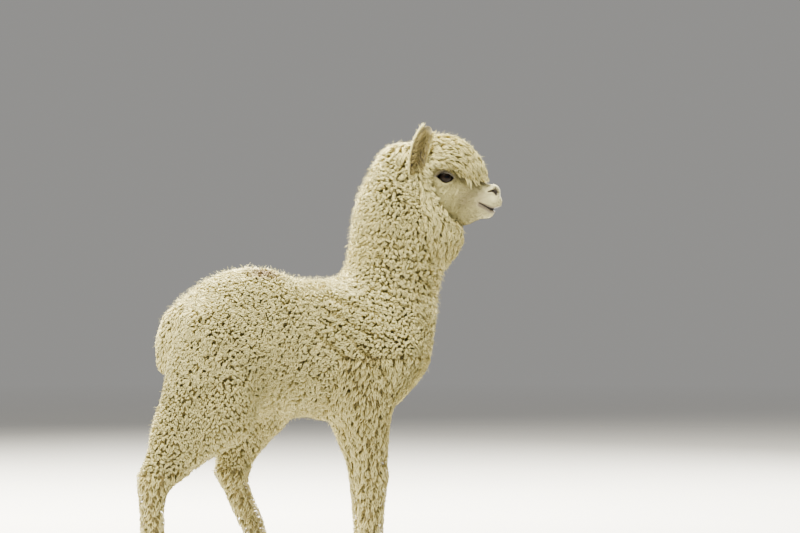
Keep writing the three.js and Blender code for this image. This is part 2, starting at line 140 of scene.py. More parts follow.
class StageSettings(bpy.types.PropertyGroup):
    floor_colour: colour("Floor", (0.42, 0.41, 0.38), "Pale studio floor")
    rim_power: watts("Rim light", 3000.0, "Lamp high behind")
    halo_power: watts("Halo lights", 950.0, "Each of the two lamps far behind")
    fill_power: watts("Fill light", 1200.0, "Lamp overhead and a little in front")
    sky_strength: FloatProperty(
        name="Sky", default=0.31, min=0.0, description="Strength of the even light all round"
    )


SETTINGS = {
    "alpaca_skin": SkinSettings,
    "alpaca_fleece": FleeceSettings,
    "alpaca_head": HeadSettings,
    "alpaca_stage": StageSettings,
}

# ------------------------------------------------------------------ small tools


def unit(v):
    return v / np.maximum(np.linalg.norm(v, axis=-1, keepdims=True), 1e-9)


def ramp(low, high, x):
    """0 below low, 1 above high, smooth between."""
    t = np.clip((x - low) / (high - low), 0.0, 1.0)
    return t * t * (3.0 - 2.0 * t)


def band(x, rise, fall):
    """1 between two ramps, given as low and high, and 0 outside them."""
    return ramp(*rise, x) * (1 - ramp(*fall, x))


def bell(x, middle, width):
    """1 in the middle, and near 0 two widths away from it."""
    return np.exp(-(((x - middle) / width) ** 2))


def near(points, place, reach):
    """True for the points within reach of a place."""
    return np.linalg.norm(points - place, axis=1) < reach


def uneven(dice, count, low, high):
    """Random shares between low and high."""
    return low + (high - low) * dice.random(count)


def shades(dice, count, spread=0.2):
    """Random tints about the middle."""
    return np.clip(0.5 + spread * dice.normal(size=count), 0, 1)


def union(k, *fields):
    """Smooth union of distances, rounded over the width k."""
    d = fields[0]
    for e in fields[1:]:
        h = np.maximum(k - np.abs(d - e), 0.0) / k
        d = np.minimum(d, e) - h * h * k / 4.0
    return d


def hollow(k, field, hole):
    """A distance with another shape taken out of it, its edge rounded over the width k."""
    h = np.maximum(k - np.abs(field + hole), 0.0) / k
    return np.maximum(field, -hole) + h * h * k / 4.0


def ball(p, centre, axes):
    """Distance to an ellipsoid."""
    q = (p - np.array(centre)) / np.array(axes)
    inner = np.linalg.norm(q, axis=-1)
    outer = np.linalg.norm(q / np.array(axes), axis=-1)
    return inner * (inner - 1.0) / np.maximum(outer, 1e-9)


def cone(p, a, b, radius_a, radius_b, wide=1.0):
    """Distance to a cone with round ends, made narrower across y by the share wide."""
    q = p * np.array([1.0, 1.0 / wide, 1.0])
    a, b = np.array(a), np.array(b)
    t = np.clip(((q - a) @ (b - a)) / ((b - a) @ (b - a)), 0.0, 1.0)
    gap = np.linalg.norm(q - a - t[..., None] * (b - a), axis=-1)
    return (gap - radius_a - t * (radius_b - radius_a)) * wide


def near_path(xz, points):
    """Distance in the side view to a bent line, less the line's own half width where it has one."""
    best = np.full(len(xz), 1e9)
    for a, b in zip(points[:-1], points[1:]):
        a, b = np.array(a), np.array(b)
        way = (b - a)[:2]
        t = np.clip(((xz - a[:2]) @ way) / (way @ way), 0.0, 1.0)
        d = np.linalg.norm(xz - a[:2] - t[:, None] * way, axis=1)
        if len(a) > 2:
            d = d - a[2] - t * (b[2] - a[2])
        best = np.minimum(best, d)
    return best


def linked(name, data):
    """A new object in the scene."""
    thing = bpy.data.objects.new(name, data)
    bpy.context.scene.collection.objects.link(thing)
    return thing


def make_object(name, mesh, material, replaced=()):
    """Shows a mesh as a piece that rides on the body."""
    thing = linked(name, mesh)
    mesh.materials.append(material)
    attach(thing, BODY)
    if replaced:
        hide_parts(*replaced)


def mesh_of(name, points, loops, sizes):
    """A smooth mesh from points, the corner list of its faces and each face's number of corners."""
    mesh = bpy.data.meshes.new(name)
    mesh.vertices.add(len(points))
    set_points(mesh, points)
    mesh.loops.add(len(loops))
    mesh.loops.foreach_set("vertex_index", np.asarray(loops, np.int32))
    mesh.polygons.add(len(sizes))
    starts = np.concatenate([[0], np.cumsum(sizes)[:-1]])
    mesh.polygons.foreach_set("loop_start", starts.astype(np.int32))
    smooth(mesh)
    mesh.update(calc_edges=True)
    return mesh


def set_points(mesh, points):
    mesh.vertices.foreach_set("co", np.asarray(points, np.float32).ravel())


def smooth(mesh):
    mesh.polygons.foreach_set("use_smooth", np.full(len(mesh.polygons), True))


def tube_faces(rows, columns):
    """Corners of the quads round a tube, row by row."""
    i, j = np.indices((rows, columns)).reshape(2, -1)
    a, b = i * columns + j, i * columns + (j + 1) % columns
    return np.stack([a, b, b + columns, a + columns], axis=1)


@contextmanager
def edited(mesh):
    """Opens a mesh for work on its faces and writes it back."""
    work = bmesh.new()
    work.from_mesh(mesh)
    work.verts.ensure_lookup_table()
    yield work
    work.to_mesh(mesh)
    work.free()


def put_attribute(mesh, name, values):
    layer = mesh.attributes.new(name, "FLOAT", "POINT")
    layer.data.foreach_set("value", np.asarray(values, np.float32).ravel())


def read(items, key, width, kind):
    """A mesh's own list as an array, one row for each item."""
    values = np.empty(len(items) * width, kind)
    items.foreach_get(key, values)
    return values.reshape(-1, width)


def get_attribute(mesh, name):
    return read(mesh.attributes[name].data, "value", 1, np.float32)[:, 0]


def points_of(mesh):
    return read(mesh.vertices, "co", 3, np.float32).astype(float)


def triangles_of(mesh):
    mesh.calc_loop_triangles()
    return read(mesh.loop_triangles, "vertices", 3, np.int32)


def edges_of(mesh):
    return read(mesh.edges, "vertices", 2, np.int32)


def normals_of(points, triangles):
    a, b, c = (points[triangles[:, i]] for i in range(3))
    flat = np.cross(b - a, c - a)
    total = np.zeros_like(points)
    for corner in range(3):
        for axis in range(3):
            total[:, axis] += np.bincount(triangles[:, corner], weights=flat[:, axis], minlength=len(points))
    return unit(total)


def smoothed(values, edges, rounds, amount=0.5):
    """Values averaged with their neighbours' along the mesh's edges."""
    out = values.reshape(len(values), -1).astype(float).copy()
    n = len(out)
    a, b = edges.T
    counts = np.maximum(np.bincount(a, minlength=n) + np.bincount(b, minlength=n), 1)
    for _ in range(rounds):
        for axis in range(out.shape[1]):
            column = out[:, axis]
            total = np.bincount(a, weights=column[b], minlength=n)
            total += np.bincount(b, weights=column[a], minlength=n)
            out[:, axis] += amount * (total / counts - column)
    return out.reshape(values.shape)


# ------------------------------------------------------------------ the head's own frame

EYE_PLACE = np.array([0.077, 0.046, 0.009])  # the left eye from the poll: ahead, out, up
EYE_RADIUS = 0.021


def box_middle(node_name):
    low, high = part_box(node_name)
    return np.array((low + high) / 2)


def head_axes():
    """The poll's place, and the head's directions ahead, left and up as rows."""
    left, right = box_middle("eye_left"), box_middle("eye_right")
    across = unit(left - right)
    ahead = np.cross(across, UP)
    poll = (left + right) / 2 - ahead * EYE_PLACE[0] - UP * EYE_PLACE[2]
    return poll, np.array([ahead, across, UP])


POLL, HEAD_AXES = head_axes()


def to_head(points):
    return (points - POLL) @ HEAD_AXES.T


def from_head(points):
    return points @ HEAD_AXES + POLL


def beside(p):
    """The same points with the right half laid on the left one."""
    return p * (1 - LEFT) + np.abs(p) * LEFT


# Lines in the side view, each point's distance ahead, height and half the opening's width there.
MOUTH_LINE = [
    (0.172, -0.0630, 0.0003),
    (0.182, -0.0680, 0.0007),
    (0.192, -0.0730, 0.0012),
    (0.204, -0.0790, 0.0018),
    (0.216, -0.0810, 0.0020),
    (0.236, -0.0775, 0.0015),
]
NOSTRIL_LINE = [
    (0.1975, -0.0318, 0.0003),
    (0.2060, -0.0298, 0.0016),
    (0.2135, -0.0294, 0.0037),
    (0.2172, -0.0330, 0.0040),
    (0.2198, -0.0398, 0.0016),
]

# The short-haired head: balls by centre and half axes, cones by ends, their radii and the share across.
HEAD_BALLS = {
    "cranium": ((0.038, 0, 0.008), (0.082, 0.066, 0.078)),
    "cheek": ((0.076, 0.022, -0.040), (0.062, 0.038, 0.054)),
    "brow": ((0.074, 0.040, 0.014), (0.030, 0.022, 0.022)),
    "nose": ((0.2115, 0, -0.0305), (0.0185, 0.0225, 0.0185)),
    "upper_lip": ((0.213, 0.011, -0.058), (0.025, 0.020, 0.021)),
    "chin": ((0.196, 0, -0.086), (0.020, 0.020, 0.017)),
    "muzzle": ((0.170, 0.012, -0.062), (0.040, 0.026, 0.036)),
    "socket": ((0.079, 0.097, 0.008), (0.040, 0.043, 0.021)),
}
HEAD_CONES = {
    "bridge": ((0.112, 0, -0.028), (0.206, 0, -0.037), 0.056, 0.024, 0.92),
    "rear_jaw": ((0.062, 0, -0.062), (0.128, 0, -0.084), 0.062, 0.038, 0.94),
    "front_jaw": ((0.128, 0, -0.084), (0.190, 0, -0.087), 0.038, 0.019, 0.94),
}
# How widely each group of shapes runs together.
BLEND = {"jaw": 0.016, "nose": 0.009, "skull": 0.018, "face": 0.014, "socket": 0.012, "eyeball": 0.010}

LIP_SWELL, LIP_MIDDLE, LIP_WIDTH = 0.0020, 0.0045, 0.0035  # the roll of the lips beside the mouth
LIP_START = (0.165, 0.185)  # how far ahead the roll begins and is whole
MOUTH_DEPTH, MOUTH_EDGE = 0.0038, 0.0030
SPLIT_DEPTH, SPLIT_WIDTH = 0.0030, 0.0022  # the cleft down the middle of the upper lip
SPLIT_AHEAD, SPLIT_FOOT, SPLIT_TOP = (0.218, 0.228), (-0.076, -0.068), (-0.046, -0.036)
WING_SWELL, WING_MIDDLE, WING_WIDTH = 0.0012, 0.0040, 0.0030  # the raised rim of the nostril
WING_START = (0.006, 0.012)
NOSTRIL_DEPTH, NOSTRIL_EDGE, SEPTUM = 0.0042, 0.0034, 0.0075
EYE_HALF_LENGTH = 0.0240
LID_RISE = {"upper": 0.0120, "lower": 0.0112}
LID_TILT, LID_ROUND, LID_CORNER = 0.0025, 2.2, -0.4  # front corner's drop, power of the arch, its lowest
LID_THICK, LID_EDGE, LID_BACK = 0.0030, 0.0014, 0.006
CREASE_DEPTH, CREASE_PLACE, LID_CREASE_WIDTH = 0.0016, 0.0052, 0.0018  # the fold above the upper lid
CREASE_HEIGHT, CREASE_REACH = (-0.004, 0.006), (0.022, 0.028)
FAR = 1.0  # stands for a distance too large to matter


def lid_gap(p):
    """Negative where the open eye is, in the side view."""
    x = (p[:, 0] - EYE_PLACE[0]) / EYE_HALF_LENGTH
    z = p[:, 2] - EYE_PLACE[2] + LID_TILT * x
    arch = np.maximum(1.0 - np.abs(x) ** LID_ROUND, LID_CORNER)
    return np.maximum(z - LID_RISE["upper"] * arch, -z - LID_RISE["lower"] * arch)


def openings(q, eye_reach):
    """Side-view distances to the edges of the mouth, nostril and lids, negative inside them."""
    side = beside(q)
    gap = np.where(near(side, EYE_PLACE, eye_reach), lid_gap(side), FAR)
    return near_path(side[:, SIDE_VIEW], MOUTH_LINE), near_path(side[:, SIDE_VIEW], NOSTRIL_LINE), gap


def face_shell(q):
    """Distance to the short-haired face without its openings, in the head's own frame."""
    part = {name: ball(q, *sizes) for name, sizes in HEAD_BALLS.items()}
    part |= {name: cone(q, *sizes) for name, sizes in HEAD_CONES.items()}
    jaw = union(BLEND["jaw"], part["rear_jaw"], part["front_jaw"])
    nose = union(BLEND["nose"], part["nose"], part["upper_lip"], part["chin"], part["muzzle"])
    skull = union(BLEND["skull"], part["cranium"], part["bridge"], jaw, part["cheek"])
    face = union(BLEND["face"], skull, nose, part["brow"])
    return hollow(BLEND["socket"], face, part["socket"])


def with_lips(face, q):
    mouth = near_path(q[:, SIDE_VIEW], MOUTH_LINE)
    face = face - LIP_SWELL * bell(mouth, LIP_MIDDLE, LIP_WIDTH) * ramp(*LIP_START, q[:, 0])
    face = hollow(MOUTH_EDGE, face, np.maximum(mouth, -face - MOUTH_DEPTH))
    split = bell(q[:, 1], 0.0, SPLIT_WIDTH) * ramp(*SPLIT_AHEAD, q[:, 0])
    return face + SPLIT_DEPTH * split * band(q[:, 2], SPLIT_FOOT, SPLIT_TOP)


def with_nostrils(face, q):
    slit = near_path(q[:, SIDE_VIEW], NOSTRIL_LINE)
    face = face - WING_SWELL * bell(slit, WING_MIDDLE, WING_WIDTH) * ramp(*WING_START, q[:, 1])
    hole = np.maximum(np.maximum(slit, -face - NOSTRIL_DEPTH), SEPTUM - q[:, 1])
    return hollow(NOSTRIL_EDGE, face, hole)


def with_lids(face, q):
    face = union(BLEND["eyeball"], face, ball(q, EYE_PLACE, (EYE_RADIUS + LID_THICK,) * 3))
    reach = 1 - ramp(*CREASE_REACH, np.linalg.norm(q - EYE_PLACE, axis=1))
    fold = bell(lid_gap(q), CREASE_PLACE, LID_CREASE_WIDTH) * ramp(*CREASE_HEIGHT, q[:, 2] - EYE_PLACE[2])
    face = face + CREASE_DEPTH * fold * reach
    opening = np.maximum(lid_gap(q), EYE_PLACE[1] + LID_BACK - q[:, 1])
    return hollow(LID_EDGE, face, opening)


def face_field(p, hair):
    """Distance to the face under hair of one depth, with its lips, nostrils and lids."""
    q = beside(p)
    return with_lids(with_nostrils(with_lips(face_shell(q) + hair, q), q), q)


# The edge of the short-haired face: behind it by height, and above it by distance ahead.
CHEEK_EDGE_HEIGHTS = [-0.135, -0.125, -0.104, -0.083, -0.049, 0.014, 0.034]
CHEEK_EDGE_AHEAD = [0.140, 0.118, 0.074, 0.072, 0.048, 0.028, 0.030]
BROW_EDGE_AHEAD = [0.020, 0.050, 0.100, 0.125, 0.150, 0.185, 0.200]
BROW_EDGE_HEIGHTS = [0.022, 0.033, 0.034, 0.022, 0.008, 0.006, 0.030]
BARE_FADE, SKULL_FADE = (-0.004, 0.012), (0.02, 0.04)
PALE_MUZZLE = (0.13, 0.20)
FLANK_OF_NOSE = ((0.10, 0.13), (0.175, 0.20))


def bare_face(q):
    """How far inside the short-haired part of the head a point lies, in metres."""
    behind = q[:, 0] - np.interp(q[:, 2], CHEEK_EDGE_HEIGHTS, CHEEK_EDGE_AHEAD)
    below = np.interp(q[:, 0], BROW_EDGE_AHEAD, BROW_EDGE_HEIGHTS) - q[:, 2]
    return np.minimum(behind, below)


def face_weight(points):
    """1 on the short-haired face, 0 where wool grows."""
    q = to_head(points)
    return ramp(*BARE_FADE, bare_face(q)) * ramp(*SKULL_FADE, q[:, 0])


def nose_share(q):
    """How far a point of the face belongs to the paler muzzle."""
    return ramp(*PALE_MUZZLE, q[:, 0])


# ------------------------------------------------------------------ shader tools and groups

MIX_FACTOR, MIX_A, MIX_B, MIX_RESULT = 0, 6, 7, 2  # the colour sockets of a mix node


def node(tree, kind, **values):
    made = tree.nodes.new(kind)
    for key, value in values.items():
        setattr(made, key, value)
    return made


def set_input(tree, socket, value):
    """Links a socket, or gives an unlinked input its number or colour."""
    if isinstance(value, bpy.types.NodeSocket):
        tree.links.new(value, socket)
    elif isinstance(value, (int, float)):
        socket.default_value = value
    else:
        socket.default_value = (*value[:3], 1.0)


def math_node(tree, operation, *values, clamp=False):
    made = node(tree, "ShaderNodeMath", operation=operation, use_clamp=clamp)
    for socket, value in zip(made.inputs, values):
        set_input(tree, socket, value)
    return made.outputs[0]


def times(tree, a, b, clamp=False):
    return math_node(tree, "MULTIPLY", a, b, clamp=clamp)


def scaled(tree, value, factor, offset=0.0, clamp=False):
    """A value times a factor, plus an offset."""
    return math_node(tree, "MULTIPLY_ADD", value, factor, offset, clamp=clamp)


def above(tree, value, start, slope):
    """0 up to the start, then rising by the slope to 1; with a slope below 0 it falls to 0 at the start."""
    return scaled(tree, value, slope, -start * slope, clamp=True)


def vector_node(tree, operation, a, b=None):
    made = node(tree, "ShaderNodeVectorMath", operation=operation)
    tree.links.new(a, made.inputs[0])
    if b is not None:
        made.inputs[1].default_value = b
    return made.outputs["Value" if operation == "LENGTH" else "Vector"]


def mix_colours(tree, factor, a, b):
    made = node(tree, "ShaderNodeMix", data_type="RGBA")
    for number, value in ((MIX_FACTOR, factor), (MIX_A, a), (MIX_B, b)):
        set_input(tree, made.inputs[number], value)
    return made.outputs[MIX_RESULT]


def toned(shade, share):
    """A colour made darker, or lighter with a share above 1."""
    return tuple(c * share for c in shade)


def position(tree):
    return node(tree, "ShaderNodeNewGeometry").outputs["Position"]


def noise_node(tree, vector, scale, detail=3.0, rough=0.55):
    made = node(tree, "ShaderNodeTexNoise")
    for key, value in (("Vector", vector), ("Scale", scale), ("Detail", detail), ("Roughness", rough)):
        set_input(tree, made.inputs[key], value)
    return made.outputs["Fac"]


def shader_group(name, inputs, output, kind, fill):
    """A node group with one output, which fill works out from its inputs; made once.

    inputs holds each number's default, or None for a colour.
    """
    if name not in bpy.data.node_groups:
        group = bpy.data.node_groups.new(name, "ShaderNodeTree")
        for label, default in inputs.items():
            socket_kind = "NodeSocketColor" if default is None else "NodeSocketFloat"
            socket = group.interface.new_socket(name=label, in_out="INPUT", socket_type=socket_kind)
            if default is not None:
                socket.default_value = default
        group.interface.new_socket(name=output, in_out="OUTPUT", socket_type=kind)
        start = node(group, "NodeGroupInput").outputs
        group.links.new(fill(group, start), node(group, "NodeGroupOutput").inputs[output])
    return bpy.data.node_groups[name]


def place_group(tree, group, **values):
    """Puts a group in a material with its values, and returns its one output."""
    made = node(tree, "ShaderNodeGroup", node_tree=group)
    for key, value in values.items():
        set_input(tree, made.inputs[key], value)
    return made.outputs[0]


STAIN_PLACE = (-0.156, -0.052, 0.822)
STAIN_SIZE = (0.050, 0.044, 0.028)
STAIN_EDGE = 1.25  # where the stain ends, in its own half sizes
STAIN_MOTTLE = 3.0


def stain_mask(tree, place, mottle):
    """A soft-edged oval on top of the croup."""
    moved = vector_node(tree, "SUBTRACT", place, STAIN_PLACE)
    size = vector_node(tree, "LENGTH", vector_node(tree, "DIVIDE", moved, STAIN_SIZE))
    edge = math_node(tree, "SUBTRACT", STAIN_EDGE, size, clamp=True)
    return times(tree, edge, times(tree, mottle, STAIN_MOTTLE), clamp=True)


DUST_SCALE, DUST_START, DUST_SLOPE = 9.0, 0.48, 1.1
MOTTLE_SCALE = 55.0
# The dark root colour up to here is painted shade in the cracks between locks.
ROOT_SLOPE = 2.2  # the roots' colour ends at 1 / this of the strand
TIP_SLOPE, TIP_OFFSET = 1.9, -0.75
TONE_SPREAD = 0.26


def wool_colour(group, start):
    place = position(group)
    dust = noise_node(group, place, DUST_SCALE)
    mottle = noise_node(group, place, MOTTLE_SCALE)
    lower = times(group, start["Along"], ROOT_SLOPE, clamp=True)
    upper = scaled(group, start["Along"], TIP_SLOPE, TIP_OFFSET, clamp=True)
    wool = mix_colours(group, lower, start["Root"], start["Middle"])
    wool = mix_colours(group, upper, wool, start["Tip"])
    wobble = math_node(group, "SUBTRACT", math_node(group, "ADD", start["Tint"], mottle), 1.0)
    wobble = times(group, wobble, start["Variation"])
    tone = node(group, "ShaderNodeHueSaturation")
    set_input(group, tone.inputs["Color"], wool)
    set_input(group, tone.inputs["Value"], scaled(group, wobble, TONE_SPREAD, 1.0))
    dusty = above(group, dust, DUST_START, DUST_SLOPE)
    wool = mix_colours(group, dusty, tone.outputs["Color"], start["Middle"])
    return mix_colours(group, stain_mask(group, place, mottle), wool, start["Stain"])


def wool_group():
    """Fleece colour from root to tip, the darker roots painted shade in the cracks between locks, with dust
    and a stain on the croup.
    """
    inputs = {
        "Along": 1.0, "Tint": 0.5, "Tip": None, "Middle": None, "Root": None, "Stain": None, "Variation": 1.0
    }
    return shader_group("fleece_colour", inputs, "Color", "NodeSocketColor", wool_colour)


GRAIN_SCALES = (0.35, 0.35, 1.0)  # along x, y and z
GRAIN_DETAIL, GRAIN_ROUGH, COARSE_SHARE = 2.0, 0.5, 1.6


def grain_height(group, start):
    place = vector_node(group, "MULTIPLY", position(group), GRAIN_SCALES)
    fine = noise_node(group, place, start["Fine"], GRAIN_DETAIL, GRAIN_ROUGH)
    coarse = noise_node(group, place, start["Coarse"], GRAIN_DETAIL, GRAIN_ROUGH)
    return math_node(group, "ADD", fine, times(group, coarse, COARSE_SHARE))


def grain_group():
    """Hair grain for a bump, finer up and down than sideways."""
    inputs = {"Fine": 900.0, "Coarse": 160.0}
    return shader_group("hair_grain", inputs, "Height", "NodeSocketFloat", grain_height)


ALONG_SCALE, TINT_SCALE = 3.0, 90.0
FIBRE_DETAIL, FIBRE_ROUGH = 2.0, 0.6
CRIMP_SHIFT, CRIMP_HEIGHT = 5.0, 0.10


def fibre_height(group, start):
    spot = node(group, "ShaderNodeCombineXYZ")
    scales = (("Around", start["Fibres"]), ("Along", ALONG_SCALE), ("Tint", TINT_SCALE))
    for socket, (key, scale) in zip(spot.inputs, scales):
        set_input(group, socket, times(group, start[key], scale))
    strands = noise_node(group, spot.outputs[0], 1.0, FIBRE_DETAIL, FIBRE_ROUGH)
    turn = times(group, start["Along"], start["Crimps"])
    wave = math_node(group, "SINE", math_node(group, "ADD", turn, times(group, strands, CRIMP_SHIFT)))
    return math_node(group, "ADD", strands, times(group, wave, CRIMP_HEIGHT))


def fibre_group():
    """Fibres that run up a lock, with the crimp across them."""
    inputs = {"Around": 0.0, "Along": 0.0, "Tint": 0.5, "Fibres": 26.0, "Crimps": 60.0}
    return shader_group("lock_fibres", inputs, "Height", "NodeSocketFloat", fibre_height)


# ------------------------------------------------------------------ materials

SHEEN_ROUGHNESS = 0.4


def new_material(name, roughness, specular, sheen=0.0):
    """A material with its shader, and the constants that are the same all over."""
    material = bpy.data.materials.new(name)
    material.use_nodes = True
    tree = material.node_tree
    shader = next(n for n in tree.nodes if n.type == "BSDF_PRINCIPLED")
    shader.inputs["Roughness"].default_value = roughness
    shader.inputs["Specular IOR Level"].default_value = specular
    shader.inputs["Sheen Weight"].default_value = sheen
    shader.inputs["Sheen Roughness"].default_value = SHEEN_ROUGHNESS
    return material, tree, shader


def attribute(tree, name):
    return node(tree, "ShaderNodeAttribute", attribute_name=name).outputs["Fac"]


def bump(tree, shader, height, distance, strength):
    made = node(tree, "ShaderNodeBump")
    for key, value in (("Distance", distance), ("Strength", strength), ("Height", height)):
        set_input(tree, made.inputs[key], value)
    tree.links.new(made.outputs["Normal"], shader.inputs["Normal"])


def hair_bump(tree, shader, fine, coarse, distance, strength):
    bump(tree, shader, place_group(tree, grain_group(), Fine=fine, Coarse=coarse), distance, strength)


def fleece_material(name, settings, variation=1.0):
    if name in bpy.data.materials:
        return bpy.data.materials[name]
    material, tree, shader = new_material(name, roughness=0.9, specular=0.15, sheen=0.06)
    tint = attribute(tree, "tint")
    wool = place_group(
        tree,
        wool_group(),
        Along=attribute(tree, "along"),
        Tint=tint,
        Tip=settings.tip_colour,
        Middle=settings.middle_colour,
        Root=settings.root_colour,
        Stain=settings.stain_colour,
        Variation=variation,
    )
    around, along = attribute(tree, "around"), attribute(tree, "along")
    fibres = place_group(tree, fibre_group(), Around=around, Along=along, Tint=tint)
    # Painted shade: the wool is made darker where the fibres' bump is low, in the grooves between fibres.
    dark = above(tree, fibres, start=0.62, slope=-1.6)
    tree.links.new(mix_colours(tree, dark, wool, settings.middle_colour), shader.inputs["Base Color"])
    bump(tree, shader, fibres, distance=0.0016, strength=0.9)
    tree.links.new(scaled(tree, tint, factor=0.12, offset=0.82), shader.inputs["Roughness"])
    return material


def skin_material(settings, fleece):
    material, tree, shader = new_material("skin", roughness=0.8, specular=0.25, sheen=0.05)
    # The skin under the fleece is painted dark, as shade in the cracks between locks.
    wool = place_group(
        tree,
        wool_group(),
        Along=0.45,
        Tint=0.5,
        Tip=fleece.tip_colour,
        Middle=settings.wool_floor_colour,
        Root=fleece.root_colour,
        Stain=fleece.stain_colour,
        Variation=1.0,
    )
    mottle = noise_node(tree, position(tree), scale=60.0)
    freckle = above(tree, mottle, start=0.42, slope=0.9)
    face = mix_colours(tree, attribute(tree, "nose"), settings.face_colour, settings.nose_colour)
    face = mix_colours(tree, freckle, face, toned(settings.face_colour, 0.8))
    speckle = scaled(tree, times(tree, attribute(tree, "speckle"), mottle), factor=0.9)
    face = mix_colours(tree, speckle, face, settings.speckle_and_shade_colour)
    coat = mix_colours(tree, attribute(tree, "bare"), wool, face)
    # The lids and lips below are partly their own colour and partly painted shade, and the openings are
    # painted shade.
    for name in ("lid", "lip", "dark"):
        coat = mix_colours(tree, attribute(tree, name), coat, getattr(settings, name + "_colour"))
    tree.links.new(coat, shader.inputs["Base Color"])
    wet = scaled(tree, attribute(tree, "lip"), factor=-0.35, offset=0.85)
    tree.links.new(wet, shader.inputs["Roughness"])
    hair_bump(tree, shader, fine=1100.0, coarse=260.0, distance=0.0008, strength=0.7)
    return material


# ------------------------------------------------------------------ skin

GROW = 0.0018  # closes the thin cuts between the nodes before they are joined


def flesh_arrays():
    """Points, triangles and the node number of each triangle of all flesh nodes."""
    points, triangles, owners = [], [], []
    count = 0
    for number, name in enumerate(FLESH):
        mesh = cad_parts[name].data
        corners = triangles_of(mesh)
        points.append(points_of(mesh))
        triangles.append(corners + count)
        owners.append(np.full(len(corners), number))
        count += len(points[-1])
    return np.concatenate(points), np.concatenate(triangles), np.concatenate(owners)


def remeshed(points, triangles, voxel):
    """One closed surface round everything, as a mesh of small quads."""
    thing = linked("flesh", mesh_of("flesh", points, triangles.ravel(), np.full(len(triangles), 3)))
    change = thing.modifiers.new("join", "REMESH")
    change.mode = "VOXEL"
    change.voxel_size = voxel
    shown = thing.evaluated_get(bpy.context.evaluated_depsgraph_get())
    made = bpy.data.meshes.new_from_object(shown)
    bpy.data.objects.remove(thing)
    return made


def only_outer_shell(mesh):
    """Keeps the largest connected piece of a mesh."""
    edges = edges_of(mesh)
    label = np.arange(len(mesh.vertices))
    while True:
        low = np.minimum(label[edges[:, 0]], label[edges[:, 1]])
        fresh = label.copy()
        np.minimum.at(fresh, edges[:, 0], low)
        np.minimum.at(fresh, edges[:, 1], low)
        fresh = fresh[fresh]
        if (fresh == label).all():
            break
        label = fresh
    loose = np.nonzero(label != np.bincount(label).argmax())[0]
    if len(loose):
        with edited(mesh) as work:
            bmesh.ops.delete(work, geom=[work.verts[i] for i in loose], context="VERTS")


def coat_depths(settings):
    """Coat depth over each flesh node, in the order of FLESH."""
    depths = []
    for name in FLESH:
        if name in ("neck", "throat", "face", "muzzle"):
            depths.append(settings.neck_depth)
        elif name in ("trunk", "topknot"):
            depths.append(getattr(settings, name + "_depth"))
        elif "foot" in name:
            depths.append(settings.foot_depth)
        elif "thigh" in name or "upper" in name:
            depths.append(0.5 * (settings.leg_depth + settings.trunk_depth))
        else:
            depths.append(settings.leg_depth)
    return np.array(depths)


INSET_STEPS, INSET_EASE = 6, 0.3


def inset(points, triangles, edges, depth):
    """Moves the surface inwards by its coat's depth, relaxing it a little on the way."""
    for _ in range(INSET_STEPS):
        points = points - normals_of(points, triangles) * (depth / INSET_STEPS)[:, None]
        points = smoothed(points, edges, 1, INSET_EASE)
    return points


def subdivided(mesh, chosen):
    """Splits the faces whose corners are all chosen."""
    with edited(mesh) as work:
        edges = [e for e in work.edges if chosen[e.verts[0].index] and chosen[e.verts[1].index]]
        bmesh.ops.subdivide_edges(work, edges=edges, cuts=1, use_grid_fill=True)
        bmesh.ops.triangulate(work, faces=[f for f in work.faces if len(f.verts) > 4])


LEAST_WEIGHT = 0.001
SLOPE_STEP = 0.0004
LEAST_SLOPE = 0.25  # of the field, squared
LONGEST_MOVE = 0.004


def project(points, weight, field, rounds):
    """Moves points on to the surface where a field is 0, by their weight."""
    moved = np.nonzero(weight > LEAST_WEIGHT)[0]
    p, share = points[moved], weight[moved][:, None]
    for _ in range(rounds):
        rises = [field(p + SLOPE_STEP * axis) - field(p - SLOPE_STEP * axis) for axis in np.eye(3)]
        slope = np.stack(rises, axis=1) / (2 * SLOPE_STEP)
        steep = np.maximum((slope**2).sum(1), LEAST_SLOPE)
        p = p - np.clip(field(p) / steep, -LONGEST_MOVE, LONGEST_MOVE)[:, None] * slope * share
    out = points.copy()
    out[moved] = p
    return out


def settled(points, edges, weight, field, rounds, passes, ease):
    """Points relaxed and set on a field's surface, by their weight."""
    soft = smoothed(points, edges, passes, ease)
    return project(points + (soft - points) * weight[:, None], weight, field, rounds)


# How far inside the bare face each round of splitting begins, and how near the openings the last two stay.
HEAD_LEVELS = [-0.010, -0.002, -0.001, -0.001]
DETAIL_REACH = {2: 0.0075, 3: 0.0028}
DETAIL_FADE = (0.006, 0.012)
SKULL_START, NOSE_START = 0.01, 0.150
EYE_REACH, LID_REACH, MARK_REACH, HANG_REACH = 0.045, 0.040, 0.036, 0.05
DEEPEST_SPLIT = -0.0055
FIRST_EASE, LATER_EASE = 0.5, 0.25
HEAD_PASSES, HEAD_ROUNDS = 2, 4


def detail_distance(q):
    """Distance to the nearest lip, nostril or lid edge."""
    return np.min(np.abs(openings(q, LID_REACH)), axis=0)


